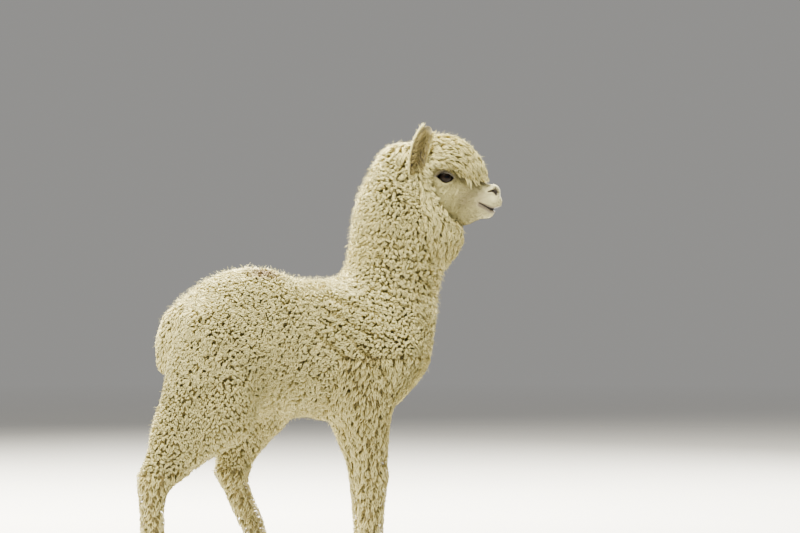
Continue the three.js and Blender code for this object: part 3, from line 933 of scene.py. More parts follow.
def refine_head(mesh, hair):
    """Splits the head's faces where it has detail, and sets them on the face."""

    def field(p):
        return face_field(to_head(p), hair)

    for level, start in enumerate(HEAD_LEVELS):
        q = to_head(points_of(mesh))
        chosen = (bare_face(q) > start) & (q[:, 0] > SKULL_START)
        if level == 1:
            chosen &= (q[:, 0] > NOSE_START) | near(np.abs(q), EYE_PLACE, EYE_REACH)
        if level in DETAIL_REACH:
            chosen &= detail_distance(q) < DETAIL_REACH[level]
            chosen &= face_shell(beside(q)) > DEEPEST_SPLIT
        subdivided(mesh, chosen)
        points, edges = points_of(mesh), edges_of(mesh)
        weight = face_weight(points)
        if level in DETAIL_REACH:
            weight *= 1 - ramp(*DETAIL_FADE, detail_distance(to_head(points)))
        ease = LATER_EASE if level else FIRST_EASE
        for _ in range(HEAD_PASSES):
            points = settled(points, edges, weight, field, HEAD_ROUNDS, 1, ease)
        set_points(mesh, points)
    mesh.update()


FEET = [(end, side) for end in ("fore", "hind") for side in SIDES]
TOE_NAIL_AHEAD = 0.051  # a nail's middle ahead of the fetlock
FOOT_TOP = 0.070
FOOT_LEVELS = [FOOT_TOP, 0.030]  # how high each round of splitting reaches
FOOT_REACH, FOOT_MOVED = 0.12, 0.11
FOOT_FADE = (FOOT_TOP - 0.022, FOOT_TOP - 0.004)
FOOT_ROUNDS, FOOT_PASSES, FOOT_EASE = 6, 2, 0.4
# One toe of the left half of a foot, from under the fetlock: cones by ends and radii, the pad a ball.
PASTERN = ((-0.004, 0.010, 0.058), (0.008, 0.014, 0.017), 0.026, 0.021)
TOE = ((0.008, 0.014, 0.017), (0.035, 0.017, 0.010), 0.021, 0.0155)
CLEFT = ((0.030, -0.004, 0.004), (0.070, -0.002, 0.020), 0.006, 0.007)
PAD = ((0.022, 0.016, 0.006), (0.030, 0.014, 0.010))
TOE_BLEND, CLEFT_EDGE, PAD_BLEND = 0.008, 0.004, 0.004


def foot_places():
    """The place under each fetlock, from the middles of the foot's two nails."""
    for end, side in FEET:
        inner, outer = (box_middle(f"{end}_foot_nail_{toe}_{side}") for toe in ("inner", "outer"))
        yield (inner + outer) / 2 + TOE_NAIL_AHEAD * BACK


def foot_field(p, place, hair):
    """Distance to one foot's two padded toes, under its hair."""
    q = beside(p - place * (1 - UP))
    toe = union(TOE_BLEND, cone(q, *PASTERN), cone(q, *TOE))
    toe = hollow(CLEFT_EDGE, toe + hair, cone(q, *CLEFT))
    return np.maximum(union(PAD_BLEND, toe, ball(q, *PAD)), -q[:, 2])


def refine_feet(mesh, hair):
    """Splits the faces of the feet and sets them on toes and pads."""
    for highest in FOOT_LEVELS:
        points = points_of(mesh)
        away = np.min([np.linalg.norm((points - place)[:, :2], axis=1) for place in foot_places()], axis=0)
        subdivided(mesh, (points[:, 2] < highest) & (away < FOOT_REACH))
        points, edges = points_of(mesh), edges_of(mesh)
        for place in foot_places():
            weight = (1 - ramp(*FOOT_FADE, points[:, 2])) * near(points[:, :2], place[:2], FOOT_MOVED)

            def field(p):
                return foot_field(p, place, hair)

            points = settled(points, edges, weight, field, FOOT_ROUNDS, FOOT_PASSES, FOOT_EASE)
        set_points(mesh, points)
    mesh.update()


# Over what distance from the mouth, the nostril and the lids each marking fades out.
# DARK_FADES spread the painted shade of the openings out from their edges.
DARK_FADES = [(0.0, 0.0024), (-0.0005, 0.0026), (0.0004, 0.0026)]
# LIP_FADES: the lower lip's own dark band, and painted shade round the nostrils and the lids.
LIP_FADES = [(0.0005, 0.0075), (0.0, 0.0040), (0.002, 0.0065)]
MOUTH_START, LOWER_LIP_START, NOSTRIL_OUT = 0.166, 0.160, 0.004
LIP_HEIGHT = 0.0050  # the lower lip's dark edge below the mouth
LOWER_LIP_OUT, LIP_TAPER, LIP_TAPER_AHEAD = 0.001, 0.0010, (0.18, 0.21)
MUZZLE_TIP, MUZZLE_SLANT, MUZZLE_HEIGHT = (0.205, 0.232), 0.25, 0.06
LIP_STRENGTH, TIP_STRENGTH = 0.90, 0.10
MARK_ROUNDS = 3
# LID_BAND: the band above the eye in the lid colour, partly painted shade of the crease there.
LID_BAND = ((0.001, 0.004), (0.007, 0.011))
SPECKLE_HEIGHTS = ((-0.085, -0.06), (-0.04, -0.02))


def edge_mask(distances, fades):
    """1 at the openings' edges, 0 away from all of them."""
    return 1 - np.min([ramp(*fade, gap) for fade, gap in zip(fades, distances)], axis=0)


def mark_skin(mesh, outer, outer_owner):
    """Writes on the skin's points what its colours and its coat need."""
    points = points_of(mesh)
    hits = [outer.find_nearest(p) for p in points.tolist()]
    owner = outer_owner[np.array([hit[2] for hit in hits])]
    depth = smoothed(np.array([hit[3] for hit in hits]), edges_of(mesh), MARK_ROUNDS)
    q = to_head(points)
    side = beside(q)
    weight = face_weight(points)
    on_head = weight > 0.5
    mouth, slit, gap = openings(q, MARK_REACH)
    mouth = np.where(q[:, 0] > MOUTH_START, mouth, FAR)
    slit = np.where(side[:, 1] > NOSTRIL_OUT, slit, FAR)
    dark = edge_mask((mouth, slit, gap), DARK_FADES)
    tip = ramp(*MUZZLE_TIP, q[:, 0] - MUZZLE_SLANT * (q[:, 2] + MUZZLE_HEIGHT))
    under = near_path((side + LIP_HEIGHT * UP)[:, SIDE_VIEW], MOUTH_LINE) - LOWER_LIP_OUT
    under = np.minimum(mouth, under) - LIP_TAPER * ramp(*LIP_TAPER_AHEAD, q[:, 0])
    under = np.where(q[:, 0] > LOWER_LIP_START, under, FAR)
    lip = edge_mask((under, slit, gap), LIP_FADES)
    marks = {
        "owner": owner,
        "coat_depth": depth,
        "bare": np.maximum(weight, IS_FOOT[owner]),
        # painted shade inside the mouth and the nostrils and at the lid edges
        "dark": dark * on_head,
        # the lower lip's own dark skin, painted shade round the nostrils and lids, and the muzzle's tip a
        # little darker
        "lip": np.maximum(LIP_STRENGTH * lip, TIP_STRENGTH * tip) * on_head,
        # the upper lid's grey hair, partly painted shade of the crease above the eye
        "lid": band(gap, *LID_BAND) * (side[:, 2] > EYE_PLACE[2]) * on_head,
        "speckle": band(q[:, 0], *FLANK_OF_NOSE) * band(q[:, 2], *SPECKLE_HEIGHTS) * on_head,
        "nose": nose_share(q),
    }
    for name, values in marks.items():
        put_attribute(mesh, name, values)


OUTER_ROUNDS, DEPTH_ROUNDS = 4, 4  # of smoothing, before the surface moves in


class ALPACA_OT_skin(bpy.types.Operator):
    """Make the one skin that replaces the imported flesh"""

    bl_idname = "alpaca.skin"
    bl_label = "Skin"

    def execute(self, context):
        settings = context.scene.alpaca_skin
        points, triangles, owners = flesh_arrays()
        tree = BVHTree.FromPolygons(points.tolist(), triangles.tolist())
        mesh = remeshed(points + normals_of(points, triangles) * GROW, triangles, settings.voxel)
        only_outer_shell(mesh)
        edges, corners = edges_of(mesh), triangles_of(mesh)
        made = smoothed(points_of(mesh), edges, OUTER_ROUNDS)
        owner = np.array([owners[tree.find_nearest(p)[2]] for p in made.tolist()])
        outer = BVHTree.FromPolygons((made - normals_of(made, corners) * GROW).tolist(), corners.tolist())
        bare = face_weight(made)
        depth = coat_depths(settings)[owner] * (1 - bare) + settings.face_depth * bare
        set_points(mesh, inset(made, corners, edges, smoothed(depth, edges, DEPTH_ROUNDS) + GROW))
        refine_feet(mesh, settings.foot_depth)
        refine_head(mesh, settings.face_depth)
        mark_skin(mesh, outer, owner[corners[:, 0]])
        mesh.name = SKIN_NAME
        smooth(mesh)
        make_object(SKIN_NAME, mesh, skin_material(settings, context.scene.alpaca_fleece), FLESH)
        return {"FINISHED"}


# ------------------------------------------------------------------ locks

LOCK_SIDES = 3
LOCK_FLATNESS = 0.72  # a lock's second half width as a share of its first
UV_PATCH = 0.003  # how much of the flat map one lock's own patch takes


def lock_mesh(name, centres, across, radii, uv_roots, tint, tone_and_shade=1.0):
    """Closed tapering locks along centre lines, given as locks by points by three.

    across holds one sideways direction for each lock, radii one radius for each point but the last,
    and tone_and_shade how pale each lock's tip is, from 0 to 1: random paleness, and painted shade where it
    is low.
    """
    count, rings = radii.shape
    sides = LOCK_SIDES
    ahead = unit(np.gradient(centres, axis=1))
    across = across[:, None]
    u = unit(across - (across * ahead).sum(2, keepdims=True) * ahead)[:, :rings]
    v = np.cross(ahead[:, :rings], u)
    turns = (TURN * np.arange(sides) / sides)[None, None, :, None]
    ring = np.cos(turns) * u[:, :, None] + LOCK_FLATNESS * np.sin(turns) * v[:, :, None]
    body = centres[:, :rings, None] + radii[:, :, None, None] * ring
    points = np.concatenate([body.reshape(count, -1, 3), centres[:, rings:]], axis=1)
    per_lock = rings * sides + 1
    faces = tube_faces(rings - 1, sides).tolist()
    last = (rings - 1) * sides
    faces += [[last + j, last + (j + 1) % sides, rings * sides] for j in range(sides)]
    faces.append(list(range(sides))[::-1])
    pattern = np.array([corner for face in faces for corner in face])
    loops = (pattern[None, :] + per_lock * np.arange(count)[:, None]).ravel()
    mesh = mesh_of(name, points.reshape(-1, 3), loops, np.tile([len(face) for face in faces], count))
    height = np.append(np.repeat(np.arange(rings) / rings, sides), 1.0)
    sideways = np.append(np.tile(np.arange(sides) / sides, rings), 0.5)
    put_attribute(mesh, "along", height * np.broadcast_to(tone_and_shade, (count,))[:, None])
    put_attribute(mesh, "tint", np.repeat(tint, per_lock))
    put_attribute(mesh, "around", np.tile(sideways, count))
    local = np.stack([sideways, height], axis=1) - 0.5
    places = uv_roots[:, None] * (1 - UV_PATCH) + UV_PATCH / 2 + UV_PATCH * local
    layer = mesh.uv_layers.new(name="OFBake")
    layer.data.foreach_set("uv", places.reshape(-1, 2)[loops].astype(np.float32).ravel())
    return mesh


GROWTH_STEPS = 16
LEAST_TOP = 0.2  # steps' worth of height, for hairs that lie down at once


def grown(roots, normals, lie, rise, shape):
    """Centre lines that leave the skin near its normal and bend over to the lie of the coat.

    shape holds start and end, the angles from the normal in radians, bend, how late the line turns,
    and marks, the steps at which it has a point. rise is the height it reaches above the skin.
    """
    t = (np.arange(GROWTH_STEPS) + 0.5) / GROWTH_STEPS
    start, end = (np.broadcast_to(shape[key], (len(roots),)) for key in ("start", "end"))
    angle = start[:, None] + (end - start)[:, None] * t[None] ** shape["bend"]
    up, along = np.cos(angle), np.sin(angle)
    top = np.maximum(np.cumsum(up, axis=1).max(axis=1), LEAST_TOP)
    way = up[..., None] * normals[:, None] + along[..., None] * lie[:, None]
    line = np.cumsum(way, axis=1) * (rise / top)[:, None, None]
    line = np.concatenate([np.zeros((len(roots), 1, 3)), line], axis=1)[:, list(shape["marks"])]
    return roots[:, None] + line


CRIMP_GROWTH = 0.7


def crimped(lines, across, normals, amount, waves, phase, marks):
    """Waves a centre line round its own way, more towards the tip."""
    t = (np.array(marks) / GROWTH_STEPS)[None, :]
    turn = TURN * waves[:, None] * t + phase[:, None]
    grow = amount[:, None] * t**CRIMP_GROWTH
    side = (grow * np.cos(turn))[..., None] * across[:, None]
    lift = (grow * np.sin(turn))[..., None] * normals[:, None]
    return lines + side + lift


def rolled_off(name, points):
    """Flat places of points on one node's skin, rolled round the node's own axis; the trunk lies along x."""
    own = points_of(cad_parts[name].data)
    along, rest = (0, (1, 2)) if name == "trunk" else (2, (0, 1))
    s, own_s = points[:, along], own[:, along]
    fits = [np.polyfit(own_s, own[:, axis], 1) for axis in rest]
    if name == "trunk":
        fits = [(0.0, np.polyval(fit, own_s.mean())) for fit in fits]
    a, b = (points[:, axis] - np.polyval(fit, s) for axis, fit in zip(rest, fits))
    height = (s - own_s.min()) / (own_s.max() - own_s.min())
    return np.arctan2(b, a) / TURN + 0.5, np.clip(height, 0, 1)


STRIP_EDGE = 0.01


def flat_places(names, owners, points):
    """Places in the unit square: one upright strip for each node, rolled off its skin."""
    out = np.zeros((len(points), 2))
    for number, name in enumerate(names):
        mine = owners == FLESH.index(name)
        if mine.any():
            u, v = rolled_off(name, points[mine])
            out[mine] = np.stack([(number + STRIP_EDGE + (1 - 2 * STRIP_EDGE) * u) / len(names), v], axis=1)
    return out


EVEN_SHARE = 0.52  # candidates' spacing for an even scatter, as a share of the gap wanted
EVEN_GAP = 0.78
NORMAL_ROUNDS = 3
WRAP_SHARE, WRAP_SPEED, WRAP_BEND, WRAP_LIFT = 0.45, 1.7, 0.8, 0.001


class SkinMap:
    """The skin's triangles, ready for scattering roots on them."""

    def __init__(self):
        thing = bpy.data.objects.get(SKIN_NAME)
        if thing is None:
            raise RuntimeError("make the skin before its coat")
        mesh = thing.data
        self.points, self.triangles = points_of(mesh), triangles_of(mesh)
        normals = normals_of(self.points, self.triangles)
        self.normals = unit(smoothed(normals, edges_of(mesh), NORMAL_ROUNDS))
        self.owner = get_attribute(mesh, "owner")[self.triangles[:, 0]].round().astype(int)
        self.bare = get_attribute(mesh, "bare")[self.triangles].mean(1)
        self.lip = get_attribute(mesh, "lip")[self.triangles].max(1)
        self.depth = get_attribute(mesh, "coat_depth")
        self.tree = BVHTree.FromPolygons(self.points.tolist(), self.triangles.tolist())
        a, b, c = (self.points[self.triangles[:, i]] for i in range(3))
        self.middles = (a + b + c) / 3
        self.areas = np.linalg.norm(np.cross(b - a, c - a), axis=1) / 2

    def scatter(self, chosen, spacing, dice):
        """Roots about one spacing apart: places, normals, coat depths and triangle numbers."""
        picked = np.nonzero(chosen)[0]
        wanted = self.areas[picked] / np.broadcast_to(np.square(spacing), (len(chosen),))[picked]
        total = np.cumsum(wanted)
        count = int(total[-1])
        marks = (np.arange(count) + dice.random(count)) * (total[-1] / max(count, 1))
        faces = picked[np.minimum(np.searchsorted(total, marks), len(picked) - 1)]
        a, b = dice.random((2, count))
        over = a + b > 1
        a, b = np.where(over, 1 - a, a), np.where(over, 1 - b, b)
        weights = np.stack([1 - a - b, a, b], axis=1)[:, :, None]
        corners = self.triangles[faces]
        places = (self.points[corners] * weights).sum(1)
        normals = unit((self.normals[corners] * weights).sum(1))
        depth = (self.depth[corners] * weights[:, :, 0]).sum(1)
        return places, normals, depth, faces

    def spaced(self, chosen, gap, dice):
        """Roots as in scatter, none much nearer than the gap to another."""
        found = self.scatter(chosen, gap * EVEN_SHARE, dice)
        places = found[0]
        tree = KDTree(len(places))
        for i, p in enumerate(places.tolist()):
            tree.insert(p, i)
        tree.balance()
        keep = np.full(len(places), True)
        for i in dice.permutation(len(places)).tolist():
            if keep[i]:
                for _, j, _ in tree.find_range(places[i], EVEN_GAP * gap):
                    keep[j] = j == i
        return [part[keep] for part in found]

    def wrapped(self, lines, rise, marks):
        """Lays long locks round the body, so that they do not leave it in a straight line."""
        out = lines.copy()
        for ring, mark in list(enumerate(marks))[1:]:
            t = mark / GROWTH_STEPS
            hits = [self.tree.find_nearest(p) for p in lines[:, ring].tolist()]
            corners = self.triangles[[hit[2] for hit in hits]]
            normals = unit(self.normals[corners].sum(1))
            height = WRAP_SHARE * rise + (1 - WRAP_SHARE) * self.depth[corners].mean(1)
            height = height * min(1.0, WRAP_SPEED * t**WRAP_BEND) + WRAP_LIFT * t
            out[:, ring] = np.array([hit[0] for hit in hits]) + normals * height[:, None]
        return out


def across_skin(direction, normals):
    """The part of a direction that lies along the skin."""
    return unit(direction - (direction * normals).sum(1, keepdims=True) * normals)


SWIRLS = 5  # waves added up for a wandering field


def swirl(points, scale, seed):
    """A smooth wandering vector field, for the swirl of the coat."""
    dice = np.random.default_rng(seed)
    out = np.zeros_like(points)
    for _ in range(SWIRLS):
        way = dice.normal(size=(3, 3)) * scale
        phase = dice.random(3) * TURN
        out += np.sin(points @ way + phase)
    return out / SWIRLS**0.5


# ------------------------------------------------------------------ where the fleece grows and how it lies

HIND = ["thigh_left", "thigh_right", "hind_shank_left", "hind_shank_right"]
FORE = ["upper_foreleg_left", "upper_foreleg_right", "fore_shank_left", "fore_shank_right"]
HEAD_NODES = ["face", "muzzle"]
THROAT_NODES = ["neck", "throat", *HEAD_NODES]
SHOULDER_X, RUMP_X = 0.10, -0.16
NECK_SPLIT = 0.96
RUFF_LOW, RUFF_HIGH, RUFF_START, RUFF_SLANT, RUFF_BEND = -0.21, -0.052, 0.004, 0.25, -0.075
FRINGE_LOW, FRINGE_HIGH, FRINGE_START = 0.36, 0.60, 0.02
TOPKNOT_LOW = -0.06
CROWN = np.array([0.030, 0.0, 0.09])
CROWN_SPREAD = np.array([1.0, 0.55, 0.0])
FORELOCK, FORELOCK_DROP, FORELOCK_FALL, BROW = 0.75, 0.55, 2.0, (0.08, 0.16)


def flow(back, spread, scale, seed, down=1.0):
    """A lie that falls down and back, with a swirl of its own."""
    return lambda points: down * DOWN + back * BACK + spread * swirl(points, scale, seed)


trunk_lie = flow(back=0.75, spread=0.35, scale=16.0, seed=3, down=0.75)
leg_lie = flow(back=0.2, spread=0.25, scale=20.0, seed=4)
neck_lie = flow(back=0.15, spread=0.7, scale=26.0, seed=5)


def ruff_lie(points):
    """Down from the cheeks, and under the jaw a little forward."""
    forward, spread, scale, seed = 0.22, 0.16, 20.0, 6
    return DOWN + forward * HEAD_AXES[0] + spread * swirl(points, scale, seed)


def topknot_lie(points):
    """Out from the crown, and over the brow in front."""
    spread, scale, seed = 0.22, 26.0, 8
    q = to_head(points)
    way = unit((q - CROWN) * CROWN_SPREAD) - FORELOCK * BACK
    way[:, 2] = -FORELOCK_DROP - FORELOCK_FALL * ramp(*BROW, q[:, 0])
    return unit(way) @ HEAD_AXES + spread * swirl(points, scale, seed)


def is_ruff(points):
    x, _, z = to_head(points).T
    return (z < RUFF_HIGH) & (z > RUFF_LOW) & (x > RUFF_START - RUFF_SLANT * (z - RUFF_BEND))


def is_fringe(points):
    """The long wool behind and above the elbows."""
    x, _, z = points.T
    return (z < FRINGE_HIGH) & (x > FRINGE_START) & (z > FRINGE_LOW)


# Creases of the shoulder in the side view, as distance ahead and height.
CREASES = [
    [(0.020, 0.750), (0.060, 0.736), (0.110, 0.716), (0.160, 0.704)],
    [(-0.010, 0.722), (0.040, 0.702), (0.095, 0.668), (0.160, 0.640)],
    [(-0.020, 0.690), (0.030, 0.672), (0.080, 0.630), (0.120, 0.590)],
    [(-0.040, 0.664), (0.010, 0.630), (0.060, 0.580), (0.085, 0.540)],
    [(0.100, 0.610), (0.140, 0.585), (0.165, 0.540), (0.160, 0.500)],
]
CREASE_WIDTH, CREASE_CUT, CREASE_SIDE = 0.0070, 0.42, (0.03, 0.06)
WRINKLE_STEP = 0.030  # height from one neck wrinkle to the next
WRINKLE_CUT, WRINKLE_EDGE, WRINKLE_SLANT, WRINKLE_WANDER = 0.34, (0.35, 0.95), 0.12, 0.010
NECK_HEIGHTS, NECK_AHEAD = ((0.70, 0.76), (0.90, 0.98)), (0.12, 0.18)
LUMPS = 0.05
LUMP_SWIRL, WRINKLE_SWIRL = (55.0, 9), (14.0, 11)  # scale and seed


def fold_share(points):
    """How much of its full depth the fleece has: less in the creases of the neck and shoulder."""
    out = 1.0 + LUMPS * swirl(points, *LUMP_SWIRL)[:, 0]
    sideways = ramp(*CREASE_SIDE, np.abs(points[:, 1]))
    for crease in CREASES:
        out -= CREASE_CUT * bell(near_path(points[:, SIDE_VIEW], crease), 0.0, CREASE_WIDTH) * sideways
    wander = WRINKLE_WANDER * swirl(points, *WRINKLE_SWIRL)[:, 0]
    height = points[:, 2] + wander + WRINKLE_SLANT * points[:, 0]
    on_neck = band(points[:, 2], *NECK_HEIGHTS) * ramp(*NECK_AHEAD, points[:, 0])
    return out - WRINKLE_CUT * on_neck * ramp(*WRINKLE_EDGE, np.sin(TURN * height / WRINKLE_STEP))


# ------------------------------------------------------------------ fleece

# Blunt strands that turn in at the end, and long pointed ones that lie along the body. start, end, bend and
# marks are as in grown; gather draws a staple's strands together, loose stirs their lie, and uneven, crimp,
# rise, thick and widths are shares of the usual sizes.
CURLS = {
    "strands": 5, "marks": (0, 12, 16), "widths": (0.60, 1.20), "start": 0.06, "end": 1.80,
    "bend": 3.0, "gather": 0.55, "loose": 0.60, "waves": 0.9, "crimp": 1.0, "rise": 1.0, "wrap": False,
    "uneven": 0.22, "thick": 0.90,
}
LOCKS = {
    "strands": 5, "marks": (0, 5, 9, 13, 16), "widths": (0.90, 1.0, 0.90, 0.60), "start": 0.30, "end": 1.42,
    "bend": 0.75, "gather": 0.80, "loose": 0.18, "waves": 1.3, "crimp": 1.1, "rise": 0.95, "wrap": True,
    "uneven": 0.30, "thick": 0.82,
}


def anywhere(points):
    return np.full(len(points), True)


def on_rump(p):
    return p[:, 0] < RUMP_X


def on_shoulders(p):
    return (p[:, 0] >= SHOULDER_X) & ~is_fringe(p)


def on_barrel(p):
    return ~on_rump(p) & (p[:, 0] < SHOULDER_X) & ~is_fringe(p)


def on_nape(p):
    return (p[:, 2] >= NECK_SPLIT) & ~is_ruff(p)


def on_low_neck(p):
    return (p[:, 2] < NECK_SPLIT) & ~is_ruff(p)


def on_topknot(p):
    return ~is_ruff(p) & (to_head(p)[:, 2] > TOPKNOT_LOW)


def below_fringe(p):
    return ~is_fringe(p)


# Each region's name, nodes, lie, place, spacing and style, and how its strands differ from the style.
FLEECES = [
    ("coat_rump", ["trunk"], trunk_lie, on_rump, 0.80, CURLS, {"loose": 0.35, "gather": 0.35}),
    ("coat_barrel", ["trunk"], trunk_lie, on_barrel, 0.80, CURLS, {"loose": 0.4, "gather": 0.4}),
    ("coat_shoulders", ["trunk"], trunk_lie, on_shoulders, 0.78, CURLS, {}),
    ("coat_neck", THROAT_NODES, neck_lie, on_low_neck, 0.70, CURLS, {"end": 1.9}),
    ("coat_nape", THROAT_NODES[:2], neck_lie, on_nape, 0.70, CURLS, {"end": 1.75}),
    ("coat_ruff", THROAT_NODES, ruff_lie, is_ruff, 0.95, LOCKS, {"end": 1.36}),
    ("coat_topknot", ["topknot", *HEAD_NODES], topknot_lie, on_topknot, 0.86, LOCKS,
     {"end": 1.40, "crimp": 0.8, "thick": 0.75}),
    ("coat_thighs", HIND[:2], leg_lie, anywhere, 0.82, CURLS, {"loose": 0.35, "end": 1.65}),
    ("coat_hind_shanks", HIND[2:], leg_lie, anywhere, 1.02, LOCKS, {"strands": 4}),
    ("coat_fringe", ["trunk", *FORE], leg_lie, is_fringe, 1.05, LOCKS,
     {"end": 1.32, "bend": 0.9, "strands": 4}),
    ("coat_forelegs", FORE, leg_lie, below_fringe, 1.05, LOCKS, {"strands": 4}),
    ("coat_tail", ["tail"], leg_lie, anywhere, 0.9, LOCKS, {}),
]

OVER_EYE, EYE_SIDE = 0.0035, 0.03
SINK = 0.003  # how deep below the skin a staple's roots lie
TALLEST = 1.03
# PALEST: the share of its tip colour that fleece keeps in the deepest folds, painted shade in the creases.
PALEST, FOLD_FADE = 0.55, (0.60, 0.95)
STAPLE_WIDTH, END_SPREAD, GATHER_BEND = 0.55, 0.15, 1.5
SHORTER = 3  # power that keeps most staples near full height
# How far strands differ from each other, as shares of the usual.
VARY = {
    "pale": (0.86, 1.0), "rise": (0.87, 1.02), "width": (0.75, 1.25),
    "waves": (0.8, 1.2), "crimp": (0.5, 1.5),
}
WOOL_SHADES = 0.22
WOOLLY = 0.5  # skin this bare or more has no fleece


def off_the_eyes(lines):
    """True for the locks that do not hang over an open eye."""
    side = beside(to_head(lines.reshape(-1, 3)))
    over = (lid_gap(side) < OVER_EYE) & near(side, EYE_PLACE, HANG_REACH) & (side[:, 1] > EYE_SIDE)
    return ~over.reshape(lines.shape[:2]).any(axis=1)


def strands_of(skin, nodes, lie_of, where, gap, shape, settings, dice):
    """Centre lines, sideways directions, radii, owners, tints and paleness of one region's strands, the
    paleness low in the creases as painted shade.
    """
    marks, strands = shape["marks"], shape["strands"]
    chosen = np.isin(skin.owner, [FLESH.index(name) for name in nodes])
    chosen &= where(skin.middles) & (skin.bare < WOOLLY)
    if not chosen.any():
        raise RuntimeError("no skin for this fleece")
    places, normals, depth, faces = skin.spaced(chosen, gap, dice)
    count = len(places)
    lie = across_skin(lie_of(places) + shape["loose"] * dice.normal(size=(count, 3)), normals)
    side = np.cross(normals, lie)
    folds = fold_share(places)
    tall = TALLEST - shape["uneven"] * dice.random(count) ** SHORTER
    rise = (depth * folds + SINK) * shape["rise"] * tall
    # Painted shade: fleece in the creases and neck wrinkles stops short of its pale tip colour; the rest of
    # the spread is random paleness.
    tone_and_shade = (PALEST + (1 - PALEST) * ramp(*FOLD_FADE, folds)) * uneven(dice, count, *VARY["pale"])
    roots = places - SINK * normals
    middle = grown(roots, normals, lie, rise, shape)
    gathered = shape["gather"] * (np.array(marks) / GROWTH_STEPS)[None, :, None] ** GATHER_BEND
    lines, radii, tints = [], [], []
    for strand in range(strands):
        turn = (TURN * (strand + dice.random(count)) / strands)[:, None]
        out = STAPLE_WIDTH * gap * (np.cos(turn) * side + np.sin(turn) * lie)
        ends = dict(shape, end=shape["end"] + END_SPREAD * dice.normal(size=count))
        line = grown(roots + out, normals, lie, rise * uneven(dice, count, *VARY["rise"]), ends)
        line = line + (middle - line) * gathered
        if shape["wrap"]:
            line = skin.wrapped(line, rise, marks)
        waves = shape["waves"] * uneven(dice, count, *VARY["waves"])
        amount = settings.crimp * shape["crimp"] * uneven(dice, count, *VARY["crimp"])
        lines.append(crimped(line, side, normals, amount, waves, TURN * dice.random(count), marks))
        width = settings.strand_radius * shape["thick"] * uneven(dice, count, *VARY["width"])
        radii.append(width[:, None] * np.array(shape["widths"]))
        tints.append(shades(dice, count, WOOL_SHADES))
    lines, radii, tints = (np.concatenate(part) for part in (lines, radii, tints))
    keep = off_the_eyes(lines)
    repeated = [np.concatenate([part] * strands) for part in (side, skin.owner[faces], tone_and_shade)]
    return [part[keep] for part in (lines, repeated[0], radii, repeated[1], tints, repeated[2])]


class ALPACA_OT_fleece(bpy.types.Operator):
    """Cover the woolly parts of the skin with staples of crimped strands"""

    bl_idname = "alpaca.fleece"
    bl_label = "Fleece"

    def execute(self, context):
        settings = context.scene.alpaca_fleece
        skin = SkinMap()
        material = fleece_material("wool", settings)
        for number, (name, nodes, lie, where, spacing, style, changes) in enumerate(FLEECES):
            dice = np.random.default_rng(settings.seed + number)
            gap, shape = settings.spacing * spacing, {**style, **changes}
            strands = strands_of(skin, nodes, lie, where, gap, shape, settings, dice)
            lines, sides, radii, owners, tints, tone_and_shade = strands
            places = flat_places(nodes, owners, lines[:, 0])
            mesh = lock_mesh(name, lines, sides, radii, places, tints, tone_and_shade)
            make_object(name, mesh, material)
        return {"FINISHED"}


# ------------------------------------------------------------------ stray wisps and short hair

WISP = {"marks": (0, 11, 16), "start": 0.15, "end": 1.0, "bend": 1.5}
WISP_HEIGHTS = [0.70, 0.95]
WISP_SPACINGS = np.array([2.0, 1.0, 0.7])  # below, between and above those heights
WISP_LEAST, WISP_MOST, WISP_RARE = 0.002, 0.012, 1.5  # how far wisps stand out, and how rare tall ones are
WISP_BACK, WISP_STIR = 0.3, 0.8
WISP_RADII, WISP_TINTS = (0.0005, 0.0009), (0.6, 1.0)
SEED_STEPS = {"ears": 40, "lashes": 50, "wisps": 60, "short_hair": 70}
HAIR_VARY = (0.7, 1.3)
SHORT = {"marks": (0, 7, 16), "start": 1.05, "end": 1.50, "bend": 0.6}
HAIR_WIDTHS = np.array([1.0, 0.75])
HAIR_POINTS = LOCK_SIDES * len(HAIR_WIDTHS) + 1
FOOT_HAIR_LOWEST = 0.013  # hairs rooted above this hang over the rest of the foot
HAIRY, LIP_CLEAR, HAIR_SINK = 0.4, 0.30, 0.0004
LIPS_NEAR, LIP_RISE, LIP_THIN = (0.15, 0.20), 0.0016, 0.0003
SHORT_RISE, SHORT_RADIUS, SHORT_STIR = 0.0024, 0.0008, 0.18
LID_SHADE, LID_SHADE_FADE = 1.2, (0.003, 0.012)


def hair_mesh(name, owners, places, sink, normals, lie, hairs, shape):
    """Two-ring hairs, each with its own rise, radius and tint, rooted as deep as sink."""
    lines = grown(places - sink * normals, normals, lie, hairs["rise"], shape)
    radii = hairs["radius"][:, None] * HAIR_WIDTHS
    flat = flat_places(FLESH, owners, places)
    return lock_mesh(name, lines, np.cross(normals, lie), radii, flat, hairs["tint"])


class ALPACA_OT_wisps(bpy.types.Operator):
    """Let a few fine hairs stand out of the fleece"""

    bl_idname = "alpaca.wisps"
    bl_label = "Wisps"

    def execute(self, context):
        settings = context.scene.alpaca_fleece
        skin = SkinMap()
        dice = np.random.default_rng(settings.seed + SEED_STEPS["wisps"])
        zone = np.searchsorted(WISP_HEIGHTS, skin.middles[:, 2])
        spacing = settings.wisp_spacing * WISP_SPACINGS[zone]
        places, normals, depth, faces = skin.scatter(skin.bare < WOOLLY, spacing, dice)
        count = len(places)
        lie = across_skin(DOWN + WISP_BACK * BACK + WISP_STIR * dice.normal(size=(count, 3)), normals)
        hairs = {
            "rise": depth + WISP_LEAST + WISP_MOST * dice.random(count) ** WISP_RARE,
            "radius": uneven(dice, count, *WISP_RADII),
            "tint": uneven(dice, count, *WISP_TINTS),
        }
        mesh = hair_mesh("coat_wisps", skin.owner[faces], places, 0.0, normals, lie, hairs, WISP)
        make_object("coat_wisps", mesh, fleece_material("wool", settings))
        return {"FINISHED"}


